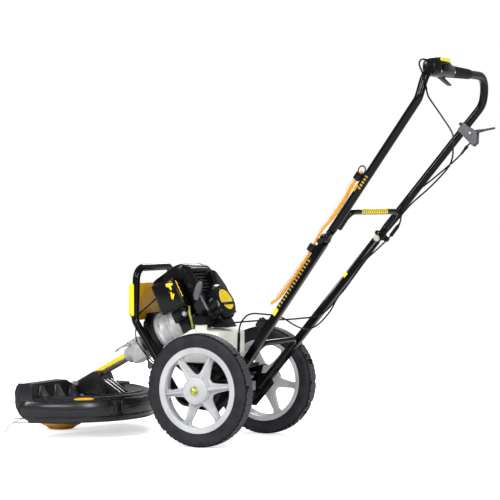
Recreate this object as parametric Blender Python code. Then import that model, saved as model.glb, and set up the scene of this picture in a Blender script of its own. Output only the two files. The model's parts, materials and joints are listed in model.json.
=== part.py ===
"""Petrol string trimmer on two wheels, for long grass and scrub.

Metres, +Z up, +X towards the handle, -Y the machine's left. The origin is on the
ground, under the middle of the whole machine. Pieces are drawn in the axle frame,
whose X is zero at the axle, and those of the power head in the crank frame, whose
X runs up the tilted drive shaft.
"""
import math

import bmesh
import bpy
from mathutils import Matrix, Vector

# Driving dimensions
AXLE_X = 0.0365
WHEEL_RADIUS = 0.1525
WHEEL_Y = 0.1865
WHEEL_WIDTH = 0.045
RIM_RADIUS = 0.1156
HUB_RADIUS = 0.0365
SPOKES = 6
LUGS = 16
AXLE_RADIUS = 0.006
HEAD_X = -0.570
GEAR_CASE_Z = 0.097
SHAFT_SLOPE = math.radians(28)
TUBE_RADIUS = 0.013
LEG_FOOT = Vector((-0.0017, 0.0942, 0.098))
LEG_SIDE = 0.020
PIVOT = Vector((0.3653, 0.1614, 0.562))
ARM_LENGTH = 0.4500
GRIP_X = 0.660
GRIP_Z = 0.988
HANDLE_RADIUS = 0.011
LOOP_Y = 0.095
LOOP_RADIUS = 0.0105
LEVER_AT = 0.3610
CASE_RADIUS = 0.0500
DRUM_RADIUS = 0.0520
HOOD_REACH = 0.2630
HOOD_TOP = 0.1520
LIP_TOP = 0.1190
GAP = 0.0003

LEG_WAY = (PIVOT - LEG_FOOT).normalized()
SIDES = {"left": -1, "right": 1}


def clear_scene():
    for item in list(bpy.data.objects):
        bpy.data.objects.remove(item, do_unlink=True)


def frame_empty(name, location, rotation=(0, 0, 0), parent=None):
    empty = bpy.data.objects.new(name, None)
    empty.location = location
    empty.rotation_euler = rotation
    empty.parent = parent
    bpy.context.scene.collection.objects.link(empty)
    return empty


def place(name, data, parent):
    item = bpy.data.objects.new(name, data)
    item.parent = parent
    bpy.context.scene.collection.objects.link(item)
    return item


def place_mesh(name, bm, parent):
    bmesh.ops.recalc_face_normals(bm, faces=bm.faces)
    mesh = bpy.data.meshes.new(name)
    bm.to_mesh(mesh)
    bm.free()
    return place(name, mesh, parent)


def colour(item, hex_code, roughness, metallic=0.0):
    channels = [int(hex_code[at:at + 2], 16) / 255 for at in (0, 2, 4)]
    linear = [c / 12.92 if c <= 0.04045 else ((c + 0.055) / 1.055) ** 2.4 for c in channels]
    material = bpy.data.materials.new(item.name + "_finish")
    material.use_nodes = True
    shader = material.node_tree.nodes["Principled BSDF"]
    shader.inputs["Base Color"].default_value = (*linear, 1)
    shader.inputs["Roughness"].default_value = roughness
    shader.inputs["Metallic"].default_value = metallic
    item.data.materials.clear()
    item.data.materials.append(material)
    return item


def round_shading(item, angle=35):
    item.data.shade_smooth()
    item.data.set_sharp_from_angle(angle=math.radians(angle))
    return item


def turned(name, profile, segments, axis, parent, loop=False):
    """A profile of (radius, height along the axis) turned about that axis."""
    bm = bmesh.new()
    spots = {"X": lambda r, h: (h, 0, r), "Y": lambda r, h: (r, h, 0), "Z": lambda r, h: (r, 0, h)}
    verts = [bm.verts.new(spots[axis](r, h)) for r, h in profile]
    pairs = list(zip(verts, verts[1:]))
    if loop:
        pairs.append((verts[-1], verts[0]))
    edges = [bm.edges.new(pair) for pair in pairs]
    turn = {"X": (1, 0, 0), "Y": (0, 1, 0), "Z": (0, 0, 1)}[axis]
    bmesh.ops.spin(bm, geom=verts + edges, cent=(0, 0, 0), axis=turn, angle=math.tau,
                   steps=segments, use_merge=True)
    bmesh.ops.remove_doubles(bm, verts=bm.verts, dist=1e-6)
    return round_shading(place_mesh(name, bm, parent))


def slab(name, outline, depth, axis, parent, middle=0.0):
    """A flat outline drawn across the axis and pushed out to a depth."""
    bm = bmesh.new()
    low = middle - depth / 2
    spots = {"X": lambda a, b: (low, a, b), "Y": lambda a, b: (a, low, b), "Z": lambda a, b: (a, b, low)}
    face = bm.faces.new([bm.verts.new(spots[axis](a, b)) for a, b in outline])
    raised = bmesh.ops.extrude_face_region(bm, geom=[face])["geom"]
    push = {"X": (depth, 0, 0), "Y": (0, depth, 0), "Z": (0, 0, depth)}[axis]
    bmesh.ops.translate(bm, vec=push, verts=[v for v in raised if isinstance(v, bmesh.types.BMVert)])
    return place_mesh(name, bm, parent)


def block(name, low, high, parent):
    outline = [(low[0], low[2]), (high[0], low[2]), (high[0], high[2]), (low[0], high[2])]
    return slab(name, outline, high[1] - low[1], "Y", parent, (low[1] + high[1]) / 2)


def disc_outline(radius, count, middle=(0, 0), start=0.0, sweep=math.tau):
    steps = count if abs(sweep) >= math.tau else count - 1
    return [(middle[0] + radius * math.cos(start + sweep * at / steps),
             middle[1] + radius * math.sin(start + sweep * at / steps)) for at in range(count)]


def rod(name, radius, low, high, segments, axis, parent):
    return turned(name, [(0, low), (radius, low), (radius, high), (0, high)], segments, axis, parent)


def soften(item, width, segments=1, angle=30):
    bevel = item.modifiers.new("soft_edges", "BEVEL")
    bevel.width = width
    bevel.segments = segments
    bevel.limit_method = "ANGLE"
    bevel.angle_limit = math.radians(angle)
    return item


def combine(item, other, operation):
    other.hide_render = True
    other.display_type = "WIRE"
    boolean = item.modifiers.new(other.name, "BOOLEAN")
    boolean.operation = operation
    boolean.object = other
    return item


def weld(item, *others):
    for other in others:
        combine(item, other, "UNION")
    return item


def cut(item, *others):
    for other in others:
        combine(item, other, "DIFFERENCE")
    return item


def bent_path(corners, radius, steps=4):
    """Straight runs between the corners, each corner rounded by an arc."""
    corners = [Vector(c) for c in corners]
    path = [corners[0]]
    for before, corner, after in zip(corners, corners[1:], corners[2:]):
        way_in = (corner - before).normalized()
        way_out = (after - corner).normalized()
        turn = way_in.angle(way_out)
        reach = radius * math.tan(turn / 2)
        start = corner - way_in * reach
        normal = (way_out - way_in * way_in.dot(way_out)).normalized()
        for at in range(steps + 1):
            angle = turn * at / steps
            path.append(start + way_in * radius * math.sin(angle) + normal * radius * (1 - math.cos(angle)))
    path.append(corners[-1])
    return path


def smooth_route(stops, spacing):
    """Points about one spacing apart on a smooth curve through the stops."""
    stops = [Vector(s) for s in stops]
    padded = [2 * stops[0] - stops[1]] + stops + [2 * stops[-1] - stops[-2]]
    route = [stops[0]]
    for a, b, c, d in zip(padded, padded[1:], padded[2:], padded[3:]):
        steps = max(1, round((c - b).length / spacing))
        for at in range(1, steps + 1):
            t = at / steps
            route.append(0.5 * (2 * b + (c - a) * t + (2 * a - 5 * b + 4 * c - d) * t ** 2
                                + (3 * b - a - 3 * c + d) * t ** 3))
    return route


def tube(name, path, radius, parent, rings=4, wall=0.0):
    """A pipe along a path: solid with flat ends, or open with a wall."""
    curve = bpy.data.curves.new(name, "CURVE")
    curve.dimensions = "3D"
    curve.bevel_depth = radius
    curve.bevel_resolution = rings
    curve.use_fill_caps = wall == 0
    spline = curve.splines.new("POLY")
    spline.points.add(len(path) - 1)
    for point, spot in zip(spline.points, path):
        point.co = (*spot, 1)
    spline.use_smooth = True
    line = bpy.data.objects.new(name + "_line", curve)
    mesh = bpy.data.meshes.new_from_object(line)
    bpy.data.objects.remove(line)
    mesh.name = name
    item = place(name, mesh, parent)
    bm = bmesh.new()
    bm.from_mesh(mesh)
    bmesh.ops.remove_doubles(bm, verts=bm.verts, dist=1e-6)
    bmesh.ops.recalc_face_normals(bm, faces=bm.faces)
    bm.to_mesh(mesh)
    bm.free()
    round_shading(item)
    if wall:
        shell = item.modifiers.new("wall", "SOLIDIFY")
        shell.thickness = wall
        shell.offset = -1
    return item


def tyre_mesh(name, parent):
    half = WHEEL_WIDTH / 2
    tread = WHEEL_RADIUS - 0.0035
    inner = [(0.1167, 0.0197), (0.1103, 0.0), (0.1167, -0.0197)]
    outer = [(0.1210, -half + 0.0014), (0.1380, -half), (tread, -half + 0.0050), (tread + 0.0008, -0.0010),
             (tread + 0.0008, 0.0010), (tread, half - 0.0050), (0.1380, half), (0.1210, half - 0.0014)]
    tyre = turned(name, inner + outer, 2 * LUGS, "Y", parent, loop=True)
    bm = bmesh.new()
    bm.from_mesh(tyre.data)
    lugs = []
    for face in bm.faces:
        middle = face.calc_center_median()
        if math.hypot(middle.x, middle.z) < tread * 0.993 or abs(middle.y) < 0.002:
            continue
        step = math.floor(math.atan2(middle.z, middle.x) / (math.pi / LUGS))
        if (step + (middle.y > 0)) % 2 == 0:
            lugs.append(face)
    for face in bmesh.ops.extrude_discrete_faces(bm, faces=lugs)["faces"]:
        for vert in face.verts:
            lean = 0.030 * abs(vert.co.y) / half
            angle = math.atan2(vert.co.z, vert.co.x) + lean
            height = WHEEL_RADIUS if abs(vert.co.y) < 0.005 else WHEEL_RADIUS - 0.0012
            vert.co.x = height * math.cos(angle)
            vert.co.z = height * math.sin(angle)
    bmesh.ops.recalc_face_normals(bm, faces=bm.faces)
    bm.to_mesh(tyre.data)
    bm.free()
    return tyre


def rim_window(name, parent):
    """Six openings between the spokes, wide at the rim and narrow at the hub, as one cutter."""
    half = [(0.0430, 0.110), (0.0930, 0.432), (0.0990, 0.370)]
    ring = [(reach, -angle) for reach, angle in half]
    ring += [(0.1010, 0.0)] + [(reach, angle) for reach, angle in reversed(half)]
    bm = bmesh.new()
    for spoke in range(SPOKES):
        middle = math.tau * (spoke + 0.5) / SPOKES
        spots = [(r * math.cos(middle + a), -0.02, r * math.sin(middle + a)) for r, a in ring]
        face = bm.faces.new([bm.verts.new(spot) for spot in spots])
        raised = bmesh.ops.extrude_face_region(bm, geom=[face])["geom"]
        tops = [v for v in raised if isinstance(v, bmesh.types.BMVert)]
        bmesh.ops.translate(bm, vec=(0, 0.04, 0), verts=tops)
    return place_mesh(name, bm, parent)


def spoke_ridges(name, parent):
    """Six tapered ridges from the hub out to the rim, as one solid with a boss."""
    bm = bmesh.new()
    for spoke in range(SPOKES):
        angle = math.tau * spoke / SPOKES
        along = Vector((math.cos(angle), 0, math.sin(angle)))
        across = Vector((-math.sin(angle), 0, math.cos(angle)))
        rings = []
        for reach, half, ridge in ((0.0265, 0.0140, 0.0280), (0.1035, 0.0065, 0.0135)):
            shape = ((-half, 0.0020), (half, 0.0020), (half * 0.85, 0.0075), (0.0, ridge),
                     (-half * 0.85, 0.0075))
            rings.append([bm.verts.new(along * reach + across * a + Vector((0, b, 0))) for a, b in shape])
        for one, two in zip(rings, rings[1:]):
            for at in range(5):
                bm.faces.new((one[at], one[(at + 1) % 5], two[(at + 1) % 5], two[at]))
        bm.faces.new(rings[0])
        bm.faces.new(rings[-1])
    return place_mesh(name, bm, parent)


def rim_mesh(name, parent):
    ring = [(RIM_RADIUS, 0.0200), (0.0990, 0.0185), (0.0985, 0.0140), (0.1035, 0.0060), (0.1035, -0.0180),
            (RIM_RADIUS, -0.0200), (0.1092, 0.0)]
    rim = turned(name, ring, 24, "Y", parent, loop=True)
    web = turned(name + "_web", [(0.010, -0.004), (0.010, 0.0045), (0.1050, 0.0065), (0.1050, -0.002)],
                 24, "Y", parent, loop=True)
    cut(web, rim_window(name + "_windows", parent))
    hub = turned(name + "_hub", [(0, -0.0215), (0.0200, -0.0215), (0.0220, -0.0190), (0.0240, 0.0010),
                                 (HUB_RADIUS, 0.0080), (HUB_RADIUS, 0.0275), (0.0335, 0.0317), (0, 0.0317)],
                 14, "Y", parent)
    bore = rod(name + "_bore", AXLE_RADIUS + GAP, -0.03, 0.04, 12, "Y", parent)
    weld(rim, web, spoke_ridges(name + "_ridges", parent), hub)
    return cut(rim, bore)


def wheel(side, machine):
    """A moulded six-spoke rim in a lugged rubber tyre, with the nut that holds it on."""
    sign = SIDES[side]
    turn = 0 if sign > 0 else math.pi
    middle = frame_empty(side + "_wheel_spin", (0, sign * WHEEL_Y, WHEEL_RADIUS), (0, 0, turn), machine)
    rim = colour(rim_mesh(side + "_rim", middle), "B4B6BA", 0.45)
    tyre = colour(tyre_mesh(side + "_tyre", middle), "2E2F32", 0.85)
    # The photographed spokes stand 8 degrees round from level.
    rim.rotation_euler.y = math.radians(8)
    tyre.rotation_euler.y = 0.0
    nut = slab(side + "_hub_nut", disc_outline(0.0078, 6), 0.0062, "Y", middle, 0.0353)
    weld(nut, rod(side + "_nut_flange", 0.0100, 0.0320, 0.0332, 16, "Y", middle))
    cut(nut, rod(side + "_nut_bore", AXLE_RADIUS + GAP, 0.030, 0.042, 12, "Y", middle))
    colour(nut, "B9BE6A", 0.35, 0.9)


def axle(machine):
    """A stepped steel axle: wide between wheel and bracket, narrow in the hub."""
    end = WHEEL_Y + 0.0400
    profile = [(0, -end), (AXLE_RADIUS, -end), (AXLE_RADIUS, -0.1647), (0.0100, -0.1647), (0.0100, -0.1096),
               (0.0075, -0.1096), (0.0075, 0.1096), (0.0100, 0.1096), (0.0100, 0.1647), (AXLE_RADIUS, 0.1647),
               (AXLE_RADIUS, end), (0, end)]
    item = turned("axle", profile, 12, "Y", machine)
    item.location.z = WHEEL_RADIUS
    colour(item, "8D8F93", 0.4, 1.0)


def along_leg(distance, sign=1):
    """A point on the line of a leg and its arm, measured from the fold pivot."""
    spot = PIVOT + LEG_WAY * distance
    return Vector((spot.x, sign * spot.y, spot.z))


def aim(way):
    """Turns local Z to a way, keeping local Y close to the machine's Y."""
    z = way.normalized()
    y = (Vector((0, 1, 0)) - z * z.y).normalized()
    x = y.cross(z)
    return Matrix((x, y, z)).transposed().to_euler()


def fold_lug(name, low, high, sign, offset, parent):
    """An upright flat lug through the pivot, with the hole for its bolt."""
    flat = math.atan2(LEG_WAY.x, LEG_WAY.z)
    width = 0.0100
    round_end = disc_outline(width, 7, start=0 if high < abs(low) else math.pi, sweep=math.pi)
    far = low if high < abs(low) else high
    corners = [(-width, far), (width, far)]
    outline = round_end + (corners if far < 0 else corners[::-1])
    lug = slab(name, outline, 0.0060, "Y", parent)
    lug.location = (PIVOT.x, sign * (PIVOT.y + offset), PIVOT.z)
    lug.rotation_euler.y = flat
    hole = rod(name + "_hole", 0.0043, -0.01, 0.01, 12, "Y", parent)
    hole.location = lug.location
    return cut(lug, hole)


def leg(side, machine):
    """A square steel leg with its fold lug and the plate that takes the axle."""
    sign = SIDES[side]
    half = LEG_SIDE / 2
    inner = half - 0.0016
    length = (PIVOT - LEG_FOOT).length - 0.016
    item = slab(side + "_leg", [(-half, -half), (half, -half), (half, half), (-half, half)], length, "Z",
                machine, length / 2)
    bore = slab(side + "_leg_bore", [(-inner, -inner), (inner, -inner), (inner, inner), (-inner, inner)],
                length + 0.02, "Z", machine, length / 2)
    way = Vector((LEG_WAY.x, sign * LEG_WAY.y, LEG_WAY.z))
    for piece in (item, bore):
        piece.location = (LEG_FOOT.x, sign * LEG_FOOT.y, LEG_FOOT.z)
        piece.rotation_euler = aim(way)
    cut(item, bore)
    outline = [(-0.070, 0.094), (0.012, 0.086), (0.068, 0.150), (0.056, 0.180), (0.006, 0.176),
               (-0.022, 0.162), (-0.066, 0.120)]
    plate = slab(side + "_axle_plate", outline, 0.0030, "Y", machine, sign * 0.1078)
    hole = rod(side + "_axle_hole", 0.0079, -0.13, 0.13, 16, "Y", machine)
    hole.location.z = WHEEL_RADIUS
    cut(plate, hole)
    weld(item, plate, fold_lug(side + "_leg_lug", -0.040, 0.010, sign, -0.0034, machine))
    colour(item, "1B1B1D", 0.35, 0.2)


def lower_brace(machine):
    """A bent tube up the inside of one leg, across, and down the inside of the other."""
    half_path = [(0.0330, 0.0812, 0.1400), (0.1410, 0.1008, 0.2770)]
    corners = half_path + [(x, -y, z) for x, y, z in reversed(half_path)]
    path = bent_path([Vector(c) for c in corners], 0.022, 4)
    item = tube("lower_brace", path, 0.0080, machine, rings=2, wall=0.0015)
    colour(item, "1B1B1D", 0.35, 0.2)


def front_loop(machine):
    """The tube that guards the engine, from the axle plates up and over the front."""
    half_path = [(-0.0300, 0.1065), (-0.1080, 0.1065), (-0.2598, 0.3270), (-0.2540, 0.4725)]
    corners = [(x, LOOP_Y, z) for x, z in half_path]
    corners += [(x, -LOOP_Y, z) for x, z in reversed(half_path)]
    item = tube("front_loop", bent_path(corners, 0.032, 3), LOOP_RADIUS, machine, rings=2, wall=0.0015)
    colour(item, "17171A", 0.3, 0.2)


def front_panel(machine):
    """A plastic panel across the front of the loop, with its side edges turned back."""
    corner = disc_outline(0.012, 4, (0.084, 0.0325), 0, math.pi / 2)
    top = corner + [(-a, b) for a, b in reversed(corner)]
    bottom = [(-0.096, -0.0445), (-0.074, -0.0600), (0.074, -0.0600), (0.096, -0.0445)]
    item = slab("front_panel", top + bottom, 0.0060, "X", machine, 0.0)
    item.location = (-0.2744, 0, 0.3850)
    item.rotation_euler.y = math.radians(2)
    soften(item, 0.0012)
    colour(item, "F4D915", 0.35)


def engine_plate(crank):
    outline = [(-0.0842, -0.060), (-0.060, -0.082), (0.060, -0.082), (0.0842, -0.060), (0.0842, 0.040),
               (0.055, 0.068), (-0.055, 0.068), (-0.0842, 0.040)]
    item = slab("engine_plate", outline, 0.0040, "X", crank, 0.4020)
    soften(item, 0.0010)
    colour(item, "1B1B1D", 0.4, 0.2)


def cradle_tray(machine):
    """A folded and ribbed steel tray under the tank, hung on the axle by two cheeks."""
    item = block("cradle_tray", (-0.150, -0.0842, 0.2032), (0.060, 0.0842, 0.2062), machine)
    ribs = []
    for at in range(5):
        x = -0.132 + at * 0.040
        ribs.append(block(f"tray_rib_{at}", (x, -0.078, 0.2050), (x + 0.009, 0.078, 0.2115), machine))
    cheek = [(-0.150, 0.2045), (0.058, 0.2045), (0.040, 0.140), (0.014, 0.126), (-0.014, 0.126),
             (-0.110, 0.176)]
    cheeks = [slab(f"{side}_cheek", cheek, 0.0030, "Y", machine, sign * 0.0636)
              for side, sign in SIDES.items()]
    hole = rod("cheek_hole", 0.0079, -0.13, 0.13, 16, "Y", machine)
    hole.location.z = WHEEL_RADIUS
    weld(item, *ribs, *cheeks)
    cut(item, hole)
    colour(item, "1D1D20", 0.4, 0.2)


def drive_casing(machine):
    """The cast reduction gear case on the axle, with the socket of its cable."""
    item = turned("drive_casing", [(0.0079, -0.038), (0.030, -0.038), (0.046, -0.030), (0.046, 0.024),
                                   (0.032, 0.034), (0.0079, 0.034)], 16, "Y", machine, loop=True)
    item.location.z = WHEEL_RADIUS
    socket = rod("casing_socket", 0.0070, 0.0200, 0.0520, 10, "Z", machine)
    socket.location = (0.0200, -0.010, WHEEL_RADIUS)
    socket.rotation_euler.y = math.radians(55)
    ear = block("casing_ear", (0.030, -0.020, 0.140), (0.0620, 0.012, 0.165), machine)
    weld(item, socket, ear)
    colour(item, "7F8783", 0.55, 0.6)


def clutch_housing(crank):
    """The bell over the clutch, its nose a stub for the shaft clamp."""
    profile = [(0, 0.3600), (0.0046, 0.3600), (0.0046, 0.2960), (TUBE_RADIUS, 0.2960), (TUBE_RADIUS, 0.3440),
               (0.0240, 0.3460), (0.0300, 0.3560), (0.0560, 0.3670), (0.0680, 0.3740), (0.0680, 0.3930),
               (0.0640, 0.3997), (0, 0.3997)]
    colour(turned("clutch_housing", profile, 18, "X", crank), "18181A", 0.4)


def crankcase(crank):
    """The die-cast front half of the crankcase, with its sealing ribs and the cylinder's seat."""
    profile = [(0, 0.4043), (0.0600, 0.4043), (0.0610, 0.4140), (0.0520, 0.4190), (0.0500, 0.4380),
               (0.0530, 0.4410), (0.0530, 0.4490), (CASE_RADIUS, 0.4520), (CASE_RADIUS, 0.4800), (0, 0.4800)]
    item = turned("crankcase", profile, 18, "X", crank)
    seat = block("cylinder_seat", (0.4560, -0.034, 0.0300), (0.4800, 0.034, 0.0520), crank)
    feet = [block(f"case_foot_{at}", (0.4180, -0.004 + y, -0.0560), (0.4480, 0.004 + y, -0.0300), crank)
            for at, y in enumerate((-0.018, 0.018))]
    weld(item, seat, *feet)
    colour(item, "A9A9AC", 0.45, 0.8)


def cylinder(crank):
    """The finned cylinder, under the top cover."""
    profile = [(0, 0.0573), (0.0300, 0.0573), (0.0300, 0.0600)]
    for fin in range(4):
        height = 0.0620 + fin * 0.0145
        profile += [(0.0230, height), (0.0340, height + 0.0010), (0.0340, height + 0.0030),
                    (0.0230, height + 0.0040)]
    profile += [(0.0200, 0.1170), (0.0080, 0.1200), (0.0080, 0.1290), (0, 0.1290)]
    item = turned("cylinder", profile, 10, "Z", crank)
    item.location.x = 0.4985
    colour(item, "8C8C8E", 0.5, 0.8)


def engine_shroud(crank):
    """The top cover: a hollow moulded hood, open below, that stands over the cylinder."""
    outline = [(0.4545, 0.0620), (0.4545, 0.1270), (0.4620, 0.1370), (0.5400, 0.1440), (0.5640, 0.1400),
               (0.5720, 0.1300), (0.5720, 0.0620)]
    hollow = [(0.4575, 0.0400), (0.4575, 0.1260), (0.4635, 0.1340), (0.5400, 0.1410), (0.5625, 0.1370),
              (0.5690, 0.1290), (0.5690, 0.0400)]
    item = slab("engine_shroud", outline, 0.112, "Y", crank)
    soften(item, 0.0075, 2, 25)
    cut(item, slab("shroud_hollow", hollow, 0.104, "Y", crank))
    for at in range(5):
        u = 0.4680 + at * 0.0150
        cut(item, block(f"shroud_vent_{at}", (u, 0.045, 0.0900), (u + 0.007, 0.065, 0.1200), crank))
    colour(item, "1D1E21", 0.35)


def fan_housing(crank):
    """The fan case as rings across the crank: a drum below, with square shoulders above it."""
    low = [math.radians(angle) for angle in (180, 205, 230, 255, 285, 310, 335, 360)]
    bm = bmesh.new()
    rings = []
    for u, half, top in ((0.4820, 0.0480, 0.0570), (0.5500, 0.0480, 0.0570), (0.5560, 0.0700, 0.0570),
                         (0.5735, 0.0700, 0.0570), (0.5740, 0.0700, 0.1280), (0.5830, 0.0700, 0.1200),
                         (0.5900, 0.0620, 0.1080)):
        depth = min(half, 0.0520)
        ring = [(half * math.cos(angle), depth * math.sin(angle)) for angle in low]
        shoulder = 0.0240 if top > 0.1 else 0.0060
        ring += [(half, top - shoulder), (half - shoulder * 0.7, top), (shoulder * 0.7 - half, top),
                 (-half, top - shoulder)]
        rings.append([bm.verts.new((u, y, w)) for y, w in ring])
    for one, two in zip(rings, rings[1:]):
        for at in range(len(one)):
            after = (at + 1) % len(one)
            bm.faces.new((one[at], one[after], two[after], two[at]))
    bm.faces.new(rings[0])
    bm.faces.new(rings[-1])
    return round_shading(place_mesh("starter_cover", bm, crank))


def starter_cover(crank):
    """The fan and starter cover: louvres across its rear face, the cord drum, a foot on the tank."""
    item = fan_housing(crank)
    drum = turned("cord_drum", [(0, 0.5800), (DRUM_RADIUS, 0.5800), (DRUM_RADIUS, 0.6080), (0.0440, 0.6165),
                                (0.0300, 0.6180), (0, 0.6180)], 20, "X", crank)
    shoulder = slab("drum_shoulder", [(0.0, 0.0200), (0.0240, 0.1000), (0.0440, 0.0960), (0.0640, 0.0480),
                                      (0.0640, 0.0100), (0.0400, 0.0)], 0.0200, "X", crank, 0.5960)
    soften(shoulder, 0.0070, 2)
    foot = slab("tank_foot", [(0.5600, -0.0440), (0.6000, -0.0400), (0.6030, -0.0775), (0.5640, -0.0570)],
                0.0600, "Y", crank, -0.0100)
    plate = block("side_plate", (0.4825, -0.0560, -0.0360), (0.5400, -0.0400, -0.0030), crank)
    weld(item, drum, shoulder, foot, plate)
    for at in range(7):
        w = 0.0380 + at * 0.0100
        right = 0.0080 + 0.0016 * at
        slot = block(f"louvre_{at}", (0.5820, -0.0560, w - 0.0022), (0.5940, right, w + 0.0022), crank)
        cut(item, slot)
    colour(item, "1A1B1E", 0.35)


def starter_handle(crank):
    """The grip of the pull cord, seated against the left of the starter cover."""
    outline = [(-0.0060, -0.0240), (0.0050, -0.0250), (0.0075, 0.0000), (0.0045, 0.0270), (-0.0030, 0.0280),
               (-0.0075, 0.0020)]
    item = slab("starter_handle", outline, 0.0130, "Y", crank)
    item.location = (0.5880, -0.0790, 0.0420)
    item.rotation_euler.y = math.radians(24)
    soften(item, 0.0030, 1, 30)
    colour(item, "6E7073", 0.5)


def air_filter_cover(crank):
    """The moulded filter box on the left of the cylinder, its lid line cut in."""
    outline = [(0.4714, 0.1180), (0.5465, 0.1080), (0.5492, 0.0200), (0.4679, 0.0270)]
    item = slab("air_filter_cover", outline, 0.0350, "Y", crank, -0.0822)
    soften(item, 0.0065, 2)
    lid = [(0.4600, 0.1300), (0.5600, 0.1200), (0.5600, 0.0100), (0.4600, 0.0150)]
    groove = slab("lid_groove", lid, 0.0022, "Y", crank, -0.0720)
    core = [(0.4734, 0.1160), (0.5447, 0.1062), (0.5474, 0.0218), (0.4699, 0.0288)]
    cut(groove, slab("lid_core", core, 0.0100, "Y", crank, -0.0720))
    cut(item, groove)
    colour(item, "161617", 0.35)


def carburettor(crank):
    item = block("carburettor", (0.4760, -0.0640, -0.0020), (0.5285, -0.0507, 0.0560), crank)
    soften(item, 0.0016)
    pocket = rod("primer_pocket", 0.0084, -0.0660, -0.0585, 14, "Y", crank)
    pocket.location = (0.5170, 0, 0.0095)
    cut(item, pocket)
    colour(item, "1C1D20", 0.5)


def choke_lever(crank):
    """A small lever on the outer face of the filter box."""
    outline = disc_outline(0.0060, 8, start=math.radians(60), sweep=math.radians(240))
    outline += [(0.0170, -0.0030), (0.0185, 0.0), (0.0170, 0.0030)]
    item = slab("choke_lever", outline, 0.0030, "Y", crank)
    item.location = (0.5130, -0.1016, 0.0620)
    item.rotation_euler.y = math.radians(-70)
    colour(item, "2A2A2C", 0.5)


def primer_bulb(crank):
    profile = [(0, -0.0630), (0.0072, -0.0630), (0.0076, -0.0675), (0.0062, -0.0715), (0.0032, -0.0737),
               (0, -0.0743)]
    item = turned("primer_bulb", profile, 12, "Y", crank)
    item.location = (0.5170, 0, 0.0095)
    colour(item, "C9CCCB", 0.25)


def muffler(crank):
    """The silencer box on the right of the cylinder, with its outlet."""
    item = block("muffler", (0.4600, 0.0565, 0.0300), (0.5300, 0.0960, 0.1180), crank)
    soften(item, 0.0080, 2)
    outlet = rod("muffler_outlet", 0.0060, 0.0940, 0.1040, 10, "Y", crank)
    outlet.location = (0.4800, 0, 0.0480)
    weld(item, outlet)
    for at in range(4):
        w = 0.0620 + at * 0.0110
        cut(item, block(f"muffler_slot_{at}", (0.4720, 0.0935, w), (0.5180, 0.1000, w + 0.0045), crank))
    colour(item, "3B3B3D", 0.6, 0.7)


def fuel_tank(machine, crank):
    """The blow-moulded tank slung under the tilted engine, hollowed to clear the case above it."""
    outline = [(-0.1660, 0.2320), (-0.1120, 0.2165), (-0.0250, 0.2160), (0.0050, 0.2350), (0.0050, 0.3020),
               (-0.0780, 0.3095), (-0.1730, 0.2560)]
    item = slab("fuel_tank", outline, 0.1600, "Y", machine, -0.0200)
    soften(item, 0.0090, 2, 15)
    neck = rod("tank_neck", 0.0170, 0.2850, 0.3210, 18, "Z", machine)
    neck.location = (-0.0540, -0.0860, 0)
    weld(item, neck)
    saddle = turned("tank_saddle", [(0, 0.3500), (0.0640, 0.3500), (0.0640, 0.4510), (0.0560, 0.4590),
                                    (0.0560, 0.6400), (0, 0.6400)], 24, "X", crank)
    cut(item, saddle)
    colour(item, "E9E8E2", 0.35)


def fuel_cap(machine):
    """The ribbed screw cap on the filler neck."""
    ribs = 12
    outline = []
    for at in range(ribs):
        for share, reach in ((0.0, 0.0205), (0.5, 0.0205), (0.6, 0.0194), (0.9, 0.0194)):
            angle = math.tau * (at + share) / ribs
            outline.append((reach * math.cos(angle), reach * math.sin(angle)))
    item = slab("fuel_cap", outline, 0.0200, "Z", machine, 0.0)
    crown = rod("cap_crown", 0.0170, 0.0095, 0.0125, 20, "Z", machine)
    item.location = (-0.0540, -0.0860, 0.3314)
    crown.location = item.location
    weld(item, crown)
    colour(item, "151516", 0.5)


def fuel_line(machine):
    stops = [(-0.0930, -0.0680, 0.3640), (-0.0880, -0.0760, 0.3500), (-0.0830, -0.0800, 0.3320),
             (-0.0840, -0.0795, 0.3190), (-0.0842, -0.0790, 0.3092)]
    item = tube("fuel_line", smooth_route(stops, 0.008), 0.0026, machine, rings=2)
    colour(item, "8F9440", 0.35)


def shaft_clamp(crank):
    """The split cast clamp that joins the lower tube to the power head."""
    outline = [(-0.0230, -0.0330), (0.0230, -0.0330), (0.0250, 0.0060), (0.0200, 0.0150), (0.0200, 0.0330),
               (-0.0200, 0.0330), (-0.0200, 0.0150), (-0.0250, 0.0060)]
    item = slab("shaft_clamp", outline, 0.0460, "X", crank, 0.3020)
    soften(item, 0.0030)
    collar = turned("clamp_collar", [(0.0100, 0.2600), (0.0205, 0.2600), (0.0225, 0.2640), (0.0225, 0.2850),
                                     (0.0100, 0.2850)], 14, "X", crank, loop=True)
    ears = []
    for at, u in enumerate((0.2900, 0.3130)):
        ear = rod(f"clamp_bolt_{at}", 0.0062, -0.0250, 0.0250, 10, "Y", crank)
        ear.location = (u, 0, 0.0240)
        ears.append(ear)
    split = block("clamp_split", (0.2500, -0.0012, 0.0100), (0.3300, 0.0012, 0.0400), crank)
    bore = rod("clamp_bore", TUBE_RADIUS + GAP, 0.2500, 0.3300, 18, "X", crank)
    weld(item, collar, *ears)
    cut(item, bore, split)
    colour(item, "A6A7AA", 0.5, 0.8)


def clamp_lever(crank):
    """The bright latch lever on the clamp, lying forward over the tube."""
    outline = disc_outline(0.0050, 7, start=math.radians(-60), sweep=math.radians(150))
    outline += [(-0.0300, 0.0060), (-0.0420, 0.0020), (-0.0430, 0.0000), (-0.0300, 0.0030)]
    item = slab("clamp_lever", outline, 0.0120, "Y", crank)
    item.location = (0.2705, 0, 0.0280)
    colour(item, "C4C6C9", 0.25, 1.0)


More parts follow.
